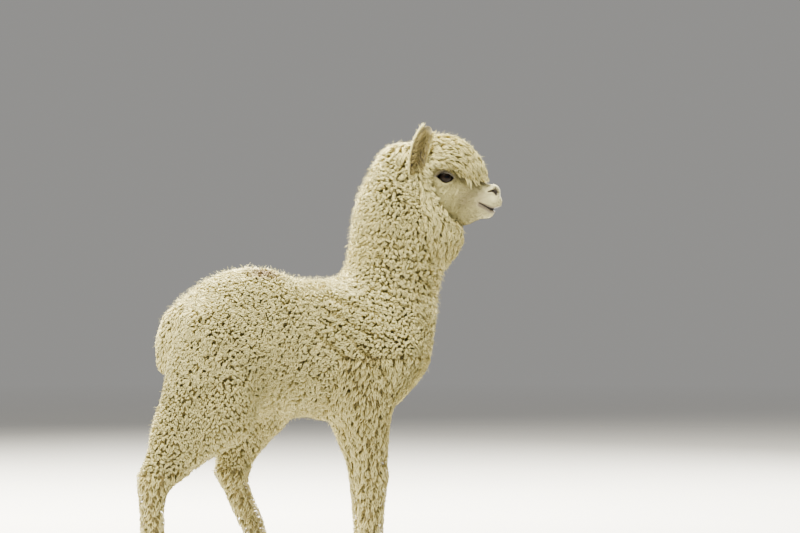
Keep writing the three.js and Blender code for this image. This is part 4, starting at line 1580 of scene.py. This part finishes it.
NOSE_WAY = np.array([-1.0, 0.0, -0.15])
CHEEK_DROP, CHEEK_START = 0.9, (0.16, 0.07)
BRIDGE_LIFT, BRIDGE_HEIGHT, BRIDGE_START = 0.5, (-0.03, 0.0), (0.10, 0.14)


def short_lie(points, foot):
    """Back from the nose and down the cheeks; straight down on the feet."""
    q = to_head(points)
    way = NOSE_WAY + CHEEK_DROP * DOWN * ramp(*CHEEK_START, q[:, 0])[:, None]
    way[:, 2] += BRIDGE_LIFT * ramp(*BRIDGE_HEIGHT, q[:, 2]) * ramp(*BRIDGE_START, q[:, 0])
    return np.where(foot[:, None], DOWN, unit(way) @ HEAD_AXES)


def short_material(settings):
    material, tree, shader = new_material("short_hair", roughness=0.85, specular=0.15, sheen=0.05)
    hair = mix_colours(tree, attribute(tree, "nose"), settings.face_colour, settings.nose_colour)
    dull = scaled(tree, attribute(tree, "tint"), factor=0.3)
    hair = mix_colours(tree, dull, hair, toned(settings.face_colour, 0.7))
    # The speckle colour here is real flecks beside the nose, and painted shade round the eyes.
    speckle = scaled(tree, attribute(tree, "speckle"), factor=0.6)
    hair = mix_colours(tree, speckle, hair, settings.speckle_and_shade_colour)
    root = above(tree, attribute(tree, "along"), start=0.5, slope=-1.0)
    hair = mix_colours(tree, root, hair, toned(settings.face_colour, 0.75))
    tree.links.new(hair, shader.inputs["Base Color"])
    hair_bump(tree, shader, fine=1400.0, coarse=420.0, distance=0.0003, strength=0.5)
    return material


class ALPACA_OT_short_hair(bpy.types.Operator):
    """Lay short hair over the face and the feet"""

    bl_idname = "alpaca.short_hair"
    bl_label = "Short hair"

    def execute(self, context):
        settings = context.scene.alpaca_fleece
        skin = SkinMap()
        dice = np.random.default_rng(settings.seed + SEED_STEPS["short_hair"])
        lowest = skin.points[skin.triangles, 2].min(1)
        chosen = (skin.bare > HAIRY) & (skin.lip < LIP_CLEAR) & (lowest > FOOT_HAIR_LOWEST)
        places, normals, _, faces = skin.scatter(chosen, settings.short_spacing, dice)
        count = len(places)
        owners = skin.owner[faces]
        foot = IS_FOOT[owners]
        q = to_head(places)
        side = beside(q)
        lie = across_skin(short_lie(places, foot) + SHORT_STIR * dice.normal(size=(count, 3)), normals)
        by_lips = ramp(*LIPS_NEAR, q[:, 0]) * ~foot
        hairs = {
            "rise": (SHORT_RISE - LIP_RISE * by_lips) * uneven(dice, count, *HAIR_VARY),
            "radius": (SHORT_RADIUS - LIP_THIN * by_lips) * uneven(dice, count, *HAIR_VARY),
            "tint": shades(dice, count),
        }
        mesh = hair_mesh("coat_short", owners, places, HAIR_SINK, normals, lie, hairs, SHORT)
        flank = band(q[:, 0], *FLANK_OF_NOSE) * ~foot * dice.random(count)
        # Short hairs round the eyes take the speckle colour as painted shade.
        lid = (1 - ramp(*LID_SHADE_FADE, lid_gap(side))) * near(side, EYE_PLACE, EYE_REACH)
        put_attribute(mesh, "speckle", np.repeat(np.maximum(flank, LID_SHADE * lid), HAIR_POINTS))
        put_attribute(mesh, "nose", np.repeat(nose_share(q) * ~foot, HAIR_POINTS))
        make_object("coat_short", mesh, short_material(context.scene.alpaca_skin))
        return {"FINISHED"}


# ------------------------------------------------------------------ eyes

EYE_ROWS, EYE_COLUMNS = 28, 48
EYE_LOOK, EYE_LIFT = 0.22, 0.05  # how far ahead and up the eyes look
CORNEA_BULGE, CORNEA_REACH = 0.035, 0.62
PUPIL_LONG, PUPIL_TALL = 0.36, 0.17
RIM_DARK = (0.006, 0.004, 0.003)


def eye_mesh(side):
    """An eyeball with its clear front pushed out a little."""
    look = unit(np.array([EYE_LOOK, side, EYE_LIFT]))
    right = unit(np.cross(look, UP))
    up = np.cross(right, look)
    rows, columns = np.indices((EYE_ROWS + 1, EYE_COLUMNS)).reshape(2, -1)
    polar, turn = math.pi * rows / EYE_ROWS, TURN * columns / EYE_COLUMNS
    sideways, upwards = np.sin(polar) * np.cos(turn), np.sin(polar) * np.sin(turn)
    bulge = 1.0 + CORNEA_BULGE * bell(polar, 0.0, CORNEA_REACH)
    way = np.stack([np.cos(polar), sideways, upwards], axis=1) @ np.array([look, right, up])
    points = from_head(EYE_RADIUS * bulge[:, None] * way + EYE_PLACE * np.array([1, side, 1]))
    faces = tube_faces(EYE_ROWS, EYE_COLUMNS)[:, [0, 3, 2, 1]]
    mesh = mesh_of("eye", points, faces.ravel(), np.full(len(faces), 4))
    put_attribute(mesh, "polar", polar)
    put_attribute(mesh, "pupil", np.hypot(sideways / PUPIL_LONG, upwards / PUPIL_TALL))
    close_poles(mesh)
    return mesh


def close_poles(mesh):
    """Joins points that share a place and turns all faces outwards."""
    with edited(mesh) as work:
        bmesh.ops.remove_doubles(work, verts=work.verts, dist=1e-6)
        bmesh.ops.recalc_face_normals(work, faces=work.faces)
    smooth(mesh)


def eye_material(settings):
    material, tree, shader = new_material("eyeball", roughness=0.08, specular=0.06)
    shader.inputs["Coat Weight"].default_value = 0.05
    shader.inputs["Coat Roughness"].default_value = 0.03
    streak = noise_node(tree, position(tree), scale=900.0, detail=4.0)
    iris = mix_colours(tree, streak, settings.eye_colour, toned(settings.eye_colour, 1.8))
    limbus = above(tree, attribute(tree, "polar"), start=0.62, slope=7.0)
    iris = mix_colours(tree, limbus, iris, RIM_DARK)
    pupil = above(tree, attribute(tree, "pupil"), start=1.08, slope=-9.0)
    tree.links.new(mix_colours(tree, pupil, iris, settings.pupil_colour), shader.inputs["Base Color"])
    tree.links.new(scaled(tree, limbus, factor=0.12, offset=0.06), shader.inputs["Roughness"])
    return material


class ALPACA_OT_eyes(bpy.types.Operator):
    """Set a wet dark eye in each socket"""

    bl_idname = "alpaca.eyes"
    bl_label = "Eyes"

    def execute(self, context):
        material = eye_material(context.scene.alpaca_head)
        for name, side in SIDES.items():
            make_object("eyeball_" + name, eye_mesh(side), material, ["eye_" + name])
        return {"FINISHED"}


LASH = {"marks": (0, 5, 10, 16), "start": 0.15, "end": 1.75, "bend": 0.8}
LASHES = 90  # over each eye
LASH_RADII = np.array([0.00055, 0.00050, 0.00032])
LASH_FROM, LASH_TO = -0.75, 0.92  # along the lid, from its middle
LASH_OUT, LASH_UP, LASH_SINK = 0.0022, 0.0008, 0.0010
LEAST_OUT = 0.00003  # squared
LASH_VARY = (0.8, 1.2)
LASH_LEAN = np.array([0.0, 0.004, 0.004])
LASH_WAY, LASH_STIR = np.array([0.55, 0.15, -1.0]), 0.12
LASH_RISE, LASH_FRONT, LASH_GAIN = 0.0062, 0.75, 0.35  # they grow longer towards the front corner


def lash_lines(dice):
    """Centre lines, sideways directions and shares along the lid of the left eye's lashes."""
    u = np.sort(dice.uniform(LASH_FROM, LASH_TO, LASHES))
    x = EYE_HALF_LENGTH * u
    z = LID_RISE["upper"] * (1 - np.abs(u) ** LID_ROUND) - LID_TILT * u + LASH_UP
    out = np.sqrt(np.maximum((EYE_RADIUS + LASH_OUT) ** 2 - x**2 - z**2, LEAST_OUT))
    offset = np.stack([x, out, z], axis=1)
    normals = unit(offset + LASH_LEAN)
    lie = across_skin(LASH_WAY + LASH_STIR * dice.normal(size=(LASHES, 3)), normals)
    rise = LASH_RISE * uneven(dice, LASHES, *LASH_VARY) * (LASH_FRONT + LASH_GAIN * u)
    roots = EYE_PLACE + offset - LASH_SINK * normals
    return grown(roots, normals, lie, rise, LASH), np.cross(normals, lie), u


def lash_material(settings):
    material, tree, shader = new_material("lash", roughness=0.5, specular=0.3)
    root = settings.lash_colour
    shade = mix_colours(tree, attribute(tree, "along"), root, toned(root, 0.5))
    tree.links.new(shade, shader.inputs["Base Color"])
    hair_bump(tree, shader, fine=1400.0, coarse=420.0, distance=0.0001, strength=0.4)
    return material


class ALPACA_OT_lashes(bpy.types.Operator):
    """Hang long lashes from the upper lids"""

    bl_idname = "alpaca.lashes"
    bl_label = "Lashes"

    def execute(self, context):
        dice = np.random.default_rng(context.scene.alpaca_fleece.seed + SEED_STEPS["lashes"])
        material = lash_material(context.scene.alpaca_head)
        for name, side in SIDES.items():
            lines, across, u = lash_lines(dice)
            mirror = np.array([1, side, 1])
            radii = np.tile(LASH_RADII, (LASHES, 1))
            # each eye's lashes lie in a row of their own on the flat map
            flat = np.stack([0.5 + 0.45 * u, np.full(LASHES, 0.25 + 0.5 * (side > 0))], axis=1)
            lines, across = from_head(lines * mirror), (across * mirror) @ HEAD_AXES
            mesh = lock_mesh("coat_lashes_" + name, lines, across, radii, flat, dice.random(LASHES))
            make_object("coat_lashes_" + name, mesh, material)
        return {"FINISHED"}


# ------------------------------------------------------------------ toenails

NAIL_ROWS, NAIL_SIDES = 16, 20
# Shares of the nail's box, and the powers of its taper and curve.
NAIL_POINT, NAIL_TAPER = 0.06, 1.9
NAIL_WIDTH, NAIL_PINCH = 0.46, 0.25
NAIL_TOP, NAIL_SOLE = 0.42, 0.26
NAIL_RIDGE, NAIL_RIDGE_WIDTH = 0.03, 0.22
NAIL_START, NAIL_LIFT, NAIL_DROP, NAIL_CURVE = 0.02, 0.16, 0.50, 1.5
NAIL_LOWEST = 0.0006  # above the floor


def nail_mesh(low, high):
    """A horny claw that fills one nail's box: ridged on top, flatter under, curved down to its tip."""
    middle, size = (low + high) / 2, high - low
    row, column = np.indices((NAIL_ROWS + 1, NAIL_SIDES)).reshape(2, -1)
    t, turn = row / NAIL_ROWS, TURN * column / NAIL_SIDES
    top = np.maximum(np.sin(turn), 0)
    slim = NAIL_POINT + (1 - NAIL_POINT) * np.sqrt(np.maximum(1 - t**NAIL_TAPER, 0))
    across = np.cos(turn) * NAIL_WIDTH * size[1] * slim * (1 - NAIL_PINCH * top**2)
    up = np.sin(turn) * np.where(top > 0, NAIL_TOP, NAIL_SOLE) * size[2] * slim
    ridge = NAIL_RIDGE * size[2] * bell(np.cos(turn), 0.0, NAIL_RIDGE_WIDTH) * (top > 0) * slim
    x = low[0] + size[0] * (NAIL_START + (1 - NAIL_START) * t)
    z = middle[2] + size[2] * (NAIL_LIFT - NAIL_DROP * t**NAIL_CURVE) + up + ridge
    points = np.stack([x, middle[1] + across, np.maximum(z, NAIL_LOWEST)], axis=1)
    ends = [range(NAIL_SIDES)[::-1], range(NAIL_ROWS * NAIL_SIDES, len(points))]
    faces = [*tube_faces(NAIL_ROWS, NAIL_SIDES), *ends]
    mesh = mesh_of("nail", points, np.concatenate(faces), [len(face) for face in faces])
    put_attribute(mesh, "along", t)
    close_poles(mesh)
    return mesh


def nail_material(settings):
    material, tree, shader = new_material("toenail", roughness=0.45, specular=0.5)
    along = attribute(tree, "along")
    streak = noise_node(tree, position(tree), scale=300.0, detail=4.0)
    horn = mix_colours(tree, streak, settings.nail_colour, toned(settings.nail_colour, 1.7))
    worn = scaled(tree, along, factor=0.55)
    horn = mix_colours(tree, worn, horn, toned(settings.nail_colour, 1.6))
    tree.links.new(horn, shader.inputs["Base Color"])
    tree.links.new(scaled(tree, streak, factor=0.3, offset=0.30), shader.inputs["Roughness"])
    rings = math_node(tree, "SINE", scaled(tree, along, factor=45.0))
    bump(tree, shader, scaled(tree, rings, factor=0.3, offset=streak), distance=0.0002, strength=0.5)
    return material


class ALPACA_OT_nails(bpy.types.Operator):
    """Make the eight toenails"""

    bl_idname = "alpaca.nails"
    bl_label = "Toenails"

    def execute(self, context):
        material = nail_material(context.scene.alpaca_head)
        for end, side in FEET:
            for toe in ("inner", "outer"):
                name = f"{end}_foot_nail_{toe}_{side}"
                mesh = nail_mesh(*(np.array(corner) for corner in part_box(name)))
                make_object("claw_" + name, mesh, material, [name])
        return {"FINISHED"}


# ------------------------------------------------------------------ ears

# The left ear's middle line in the head's own frame, from its foot to its tip.
EAR_SPINE = np.array([
    [0.004, 0.060, -0.018],
    [-0.002, 0.078, 0.020],
    [0.004, 0.089, 0.074],
    [0.018, 0.088, 0.117],
    [0.034, 0.080, 0.149],
])
EAR_ROWS, EAR_COLUMNS = 40, 20
EAR_OPENING = np.array([0.42, 0.90, 0.0])  # the way the cup faces
EAR_WIDEST = 0.46  # how far up the ear it is widest
EAR_FOOT, EAR_ROUND = 0.58, 2.3  # width at the foot as a share of the widest, and power of the tip's arch
EAR_EDGE, EAR_HALF_WIDTH = 0.0010, 0.0222
EAR_CUP, EAR_CUP_FLAT, EAR_THICK, EAR_THIN = 0.013, 0.7, 0.0030, 0.6
SPINE_STEP = 0.01
EAR_LINING = 5  # power that keeps the inside's colour off the ear's edge


def spine_point(t):
    """A smooth curve through the ear's spine, by Catmull and Rom's rule."""
    last = len(EAR_SPINE) - 1
    s = np.clip(t, 0, 1) * last
    i = np.minimum(s.astype(int), last - 1)
    f = (s - i)[:, None]
    p = [EAR_SPINE[np.clip(i + k, 0, last)] for k in (-1, 0, 1, 2)]
    return 0.5 * (
        2 * p[1]
        + (p[2] - p[0]) * f
        + (2 * p[0] - 5 * p[1] + 4 * p[2] - p[3]) * f**2
        + (3 * p[1] - p[0] - 3 * p[2] + p[3]) * f**3
    )


def ear_surface(t, a, layer):
    """Points on the left ear: t up it, a from -1 at its rear edge to 1 at the front, layer 0 inside."""
    up = unit(spine_point(np.minimum(t + SPINE_STEP, 1)) - spine_point(np.maximum(t - SPINE_STEP, 0)))
    across = unit(np.cross(up, unit(EAR_OPENING)))
    outward = unit(np.cross(across, up))
    lower = EAR_FOOT + (1 - EAR_FOOT) * np.sin(math.pi / 2 * np.minimum(t / EAR_WIDEST, 1))
    upper = np.sqrt(np.maximum(1 - np.maximum((t - EAR_WIDEST) / (1 - EAR_WIDEST), 0) ** EAR_ROUND, 0))
    wide = EAR_EDGE + EAR_HALF_WIDTH * lower * upper
    cup = EAR_CUP * (1 - EAR_CUP_FLAT * t) * upper
    depth = -cup * (1 - a**2) - layer * EAR_THICK * (1 - EAR_THIN * a**2)
    return spine_point(t) + across * (a * wide)[:, None] + outward * depth[:, None], outward, up


def ear_mesh(side):
    """A thin cupped leaf: two sheets of points, joined round their edge."""
    row, column = np.indices((EAR_ROWS + 1, EAR_COLUMNS + 1)).reshape(2, -1)
    t, a = row / EAR_ROWS, 2 * column / EAR_COLUMNS - 1
    points = np.concatenate([ear_surface(t, a, layer)[0] for layer in (0, 1)]) * np.array([1, side, 1])
    wide, size = EAR_COLUMNS + 1, len(t)
    faces = []
    for i in range(EAR_ROWS):
        for j in range(EAR_COLUMNS):
            k = i * wide + j
            faces.append([k, k + 1, k + wide + 1, k + wide])
            faces.append([size + k, size + k + wide, size + k + wide + 1, size + k + 1])
    rims = [(i * wide + j, wide, flip) for i in range(EAR_ROWS) for j, flip in ((0, 1), (EAR_COLUMNS, -1))]
    rims += [(i * wide + j, 1, flip) for j in range(EAR_COLUMNS) for i, flip in ((0, -1), (EAR_ROWS, 1))]
    for k, step, flip in rims:
        faces.append([k, k + step, size + k + step, size + k][::flip])
    mesh = mesh_of("ear", from_head(points), np.array(faces).ravel(), np.full(len(faces), 4))
    put_attribute(mesh, "inside", np.concatenate([1 - np.abs(a) ** EAR_LINING, np.zeros(size)]))
    put_attribute(mesh, "height", np.concatenate([t, t]))
    with edited(mesh) as work:
        bmesh.ops.recalc_face_normals(work, faces=work.faces)
    return mesh


def ear_material(settings):
    material, tree, shader = new_material("ear_leaf", roughness=0.85, specular=0.2, sheen=0.05)
    mottle = noise_node(tree, position(tree), scale=120.0)
    outside = mix_colours(tree, mottle, settings.ear_colour, toned(settings.ear_colour, 0.82))
    low = scaled(tree, attribute(tree, "height"), factor=-1.0, offset=1.70)
    inner = times(tree, attribute(tree, "inside"), low, clamp=True)
    shade = mix_colours(tree, inner, outside, settings.ear_inside_colour)
    tree.links.new(shade, shader.inputs["Base Color"])
    tree.links.new(scaled(tree, inner, factor=-0.15, offset=0.9), shader.inputs["Roughness"])
    hair_bump(tree, shader, fine=1200.0, coarse=300.0, distance=0.0005, strength=0.7)
    return material


EAR_HAIR = {"marks": (0, 6, 11, 16), "start": 0.75, "end": 1.35, "bend": 0.9}
EAR_HAIR_WIDTHS = np.array([1.0, 0.9, 0.6])
# Short hair over the back of the ear, a fringe at its edge and long wisps inside.
EAR_GROUPS = [
    {"place": "back", "count": 1300, "length": 0.010, "radius": 0.0011, "pale": 0.95},
    {"place": "edge", "count": 760, "length": 0.015, "radius": 0.0010, "pale": 1.0},
    # the inside's wisps are painted dark, as shade inside the cupped ear
    {"place": "inside", "count": 520, "length": 0.018, "radius": 0.0009, "pale": 0.12},
]
EAR_HAIR_SPREAD, EAR_HAIR_TOP, INNER_HAIR_TOP = 0.9, 0.90, 0.93
EDGE_BAND = 0.07
EAR_STIR, EDGE_STIR, EDGE_LEAN, EDGE_BACK = 0.25, 0.008, 0.5, 0.22
INNER_CROSS, EAR_HAIR_RISE, EAR_HAIR_SINK = 0.9, 0.45, 0.0006


def ear_hair(name, side, dice):
    """The hair of one ear, group by group."""
    parts = []
    for kind in EAR_GROUPS:
        count, layer = kind["count"], int(kind["place"] == "back")
        t = dice.random(count) ** EAR_HAIR_SPREAD * EAR_HAIR_TOP
        a = dice.uniform(-1, 1, count)
        if kind["place"] == "edge":
            a = np.sign(a) * uneven(dice, count, 1 - EDGE_BAND, 1.0)
        elif kind["place"] == "inside":
            t = t * INNER_HAIR_TOP
        place, outward, up = ear_surface(t, a, layer)
        normal = outward * (1 - 2 * layer)
        across = unit(np.cross(up, outward))
        way = up + EAR_STIR * dice.normal(size=(count, 3))
        if kind["place"] == "edge":
            way = place - spine_point(t - EDGE_BACK) + EDGE_STIR * dice.normal(size=(count, 3))
            normal = unit(across * np.sign(a)[:, None] + EDGE_LEAN * normal)
        elif kind["place"] == "inside":
            way = way - across * a[:, None] * INNER_CROSS
        way = across_skin(unit(way), normal)
        rise = kind["length"] * uneven(dice, count, *HAIR_VARY) * EAR_HAIR_RISE
        line = grown(place - EAR_HAIR_SINK * normal, normal, way, rise, EAR_HAIR)
        radii = (kind["radius"] * uneven(dice, count, *HAIR_VARY))[:, None] * EAR_HAIR_WIDTHS
        flat = np.stack([(layer + (a + 1) / 2) / 2, t], axis=1)
        parts.append((line, np.cross(normal, way), radii, flat, np.full(count, kind["pale"])))
    lines, across, radii, flat, tone_and_shade = (np.concatenate(part) for part in zip(*parts))
    mirror = np.array([1, side, 1])
    lines, across = from_head(lines * mirror), (across * mirror) @ HEAD_AXES
    mesh = lock_mesh(name, lines, across, radii, flat, shades(dice, len(lines)), tone_and_shade)
    if side < 0:
        mesh.flip_normals()
    return mesh


class ALPACA_OT_ears(bpy.types.Operator):
    """Make both cupped ears and their hair"""

    bl_idname = "alpaca.ears"
    bl_label = "Ears"

    def execute(self, context):
        fleece = context.scene.alpaca_fleece
        leaf = ear_material(context.scene.alpaca_head)
        hair = fleece_material("ear_wool", fleece, variation=0.6)
        for number, (name, side) in enumerate(SIDES.items()):
            make_object("ear_leaf_" + name, ear_mesh(side), leaf, ["ear_" + name])
            dice = np.random.default_rng(fleece.seed + SEED_STEPS["ears"] + number)
            make_object("coat_ear_" + name, ear_hair("coat_ear_" + name, side, dice), hair)
        return {"FINISHED"}


# ------------------------------------------------------------------ stage

CAMERA_AZIMUTH = math.radians(-22.0)
CAMERA_PITCH = math.radians(1.2)
CAMERA_DISTANCE = 12.35
CAMERA_TARGET_RIGHT = 0.2535
CAMERA_TARGET_HEIGHT = 0.844
CAMERA_LENS = 200.07
CAMERA_SENSOR, CAMERA_CLIP = 36.0, 200.0
LAMP_AIM = Vector((0.05, -0.02, 0.75))
# Each lamp's power setting, place from its aim by the camera's right, its back and up, size and tint.
LAMPS = {
    "rim": ("rim_power", (-1.1, -3.0, 3.3), 1.2, (1.0, 0.96, 0.86)),
    "fill": ("fill_power", (-1.0, 1.7, 4.0), 2.6, (1.0, 0.98, 0.84)),
    "halo_ahead": ("halo_power", (2.4, -3.8, 1.9), 1.2, (1.0, 0.98, 0.92)),
    "halo_astern": ("halo_power", (-3.2, -3.8, 1.9), 1.2, (1.0, 0.98, 0.92)),
}
SKY_TINT = (1.0, 0.985, 0.95)
FLOOR_REACH, FLOOR_FADE = 11.0, 9.0  # the floor fades into the sky towards its edge


def make_lamp(name, place, size, power, tint):
    data = bpy.data.lights.new(name, "AREA")
    data.shape = "DISK"
    data.size = size
    data.energy = power
    data.color = tint
    lamp = linked(name, data)
    lamp.location = place
    lamp.rotation_euler = (LAMP_AIM - place).to_track_quat("-Z", "Y").to_euler()


def make_camera():
    """Sets the camera and returns its directions right and back."""
    a, e = CAMERA_AZIMUTH, CAMERA_PITCH
    right = Vector((math.cos(a), math.sin(a), 0.0))
    back = Vector((math.sin(a) * math.cos(e), -math.cos(a) * math.cos(e), math.sin(e)))
    data = bpy.data.cameras.new("camera")
    data.lens = CAMERA_LENS
    data.sensor_width = CAMERA_SENSOR
    data.clip_end = CAMERA_CLIP
    camera = linked("camera", data)
    target = right * CAMERA_TARGET_RIGHT + Vector(UP) * CAMERA_TARGET_HEIGHT
    camera.location = target + back * CAMERA_DISTANCE
    camera.rotation_euler = (-back).to_track_quat("-Z", "Y").to_euler()
    bpy.context.scene.camera = camera
    return right, back


def floor_material(pale):
    material, tree, shader = new_material("floor", roughness=0.75, specular=0.2)
    place = position(tree)
    shade = mix_colours(tree, noise_node(tree, place, scale=1.5), pale, toned(pale, 0.94))
    tree.links.new(shade, shader.inputs["Base Color"])
    away = vector_node(tree, "LENGTH", place)
    tree.links.new(above(tree, away, FLOOR_REACH, -1 / FLOOR_FADE), shader.inputs["Alpha"])
    return material


def make_floor(settings):
    mesh = bpy.data.meshes.new("floor")
    corners = [(x * FLOOR_REACH, y * FLOOR_REACH, 0) for x, y in ((-1, -1), (1, -1), (1, 1), (-1, 1))]
    mesh.from_pydata(corners, [], [range(len(corners))])
    mesh.materials.append(floor_material(settings.floor_colour))
    linked("floor", mesh)


class ALPACA_OT_stage(bpy.types.Operator):
    """Set the camera, the lamps and the floor"""

    bl_idname = "alpaca.stage"
    bl_label = "Stage"

    def execute(self, context):
        settings = context.scene.alpaca_stage
        right, back = make_camera()
        make_floor(settings)
        for name, (power, (x, y, z), size, tint) in LAMPS.items():
            place = LAMP_AIM + right * x + back * y + Vector(UP) * z
            make_lamp(name, place, size, getattr(settings, power), tint)
        world = bpy.data.worlds.new("sky")
        context.scene.world = world
        world.use_nodes = True
        sky = next(n for n in world.node_tree.nodes if n.type == "BACKGROUND")
        sky.inputs["Color"].default_value = (*SKY_TINT, 1.0)
        sky.inputs["Strength"].default_value = settings.sky_strength
        return {"FINISHED"}


# ------------------------------------------------------------------ panel and main

OPERATORS = [
    ALPACA_OT_skin,
    ALPACA_OT_fleece,
    ALPACA_OT_wisps,
    ALPACA_OT_short_hair,
    ALPACA_OT_eyes,
    ALPACA_OT_lashes,
    ALPACA_OT_ears,
    ALPACA_OT_nails,
    ALPACA_OT_stage,
]


class ALPACA_PT_maker(bpy.types.Panel):
    """Lists the alpaca's pieces and their settings"""

    bl_idname = "ALPACA_PT_maker"
    bl_label = "Alpaca"
    bl_space_type = "VIEW_3D"
    bl_region_type = "UI"
    bl_category = "Alpaca"

    def draw(self, context):
        layout = self.layout
        for operator in OPERATORS:
            layout.operator(operator.bl_idname)
        for key, group in SETTINGS.items():
            box = layout.box()
            for name in group.__annotations__:
                box.prop(getattr(context.scene, key), name)


CLASSES = [*SETTINGS.values(), *OPERATORS, ALPACA_PT_maker]


def register():
    for made in CLASSES:
        bpy.utils.register_class(made)
    for key, group in SETTINGS.items():
        setattr(bpy.types.Scene, key, PointerProperty(type=group))


def unregister():
    for key in SETTINGS:
        delattr(bpy.types.Scene, key)
    for made in reversed(CLASSES):
        bpy.utils.unregister_class(made)


def main():
    register()
    for operator in OPERATORS:
        group, action = operator.bl_idname.split(".")
        getattr(getattr(bpy.ops, group), action)()


if __name__ == "__main__":
    main()
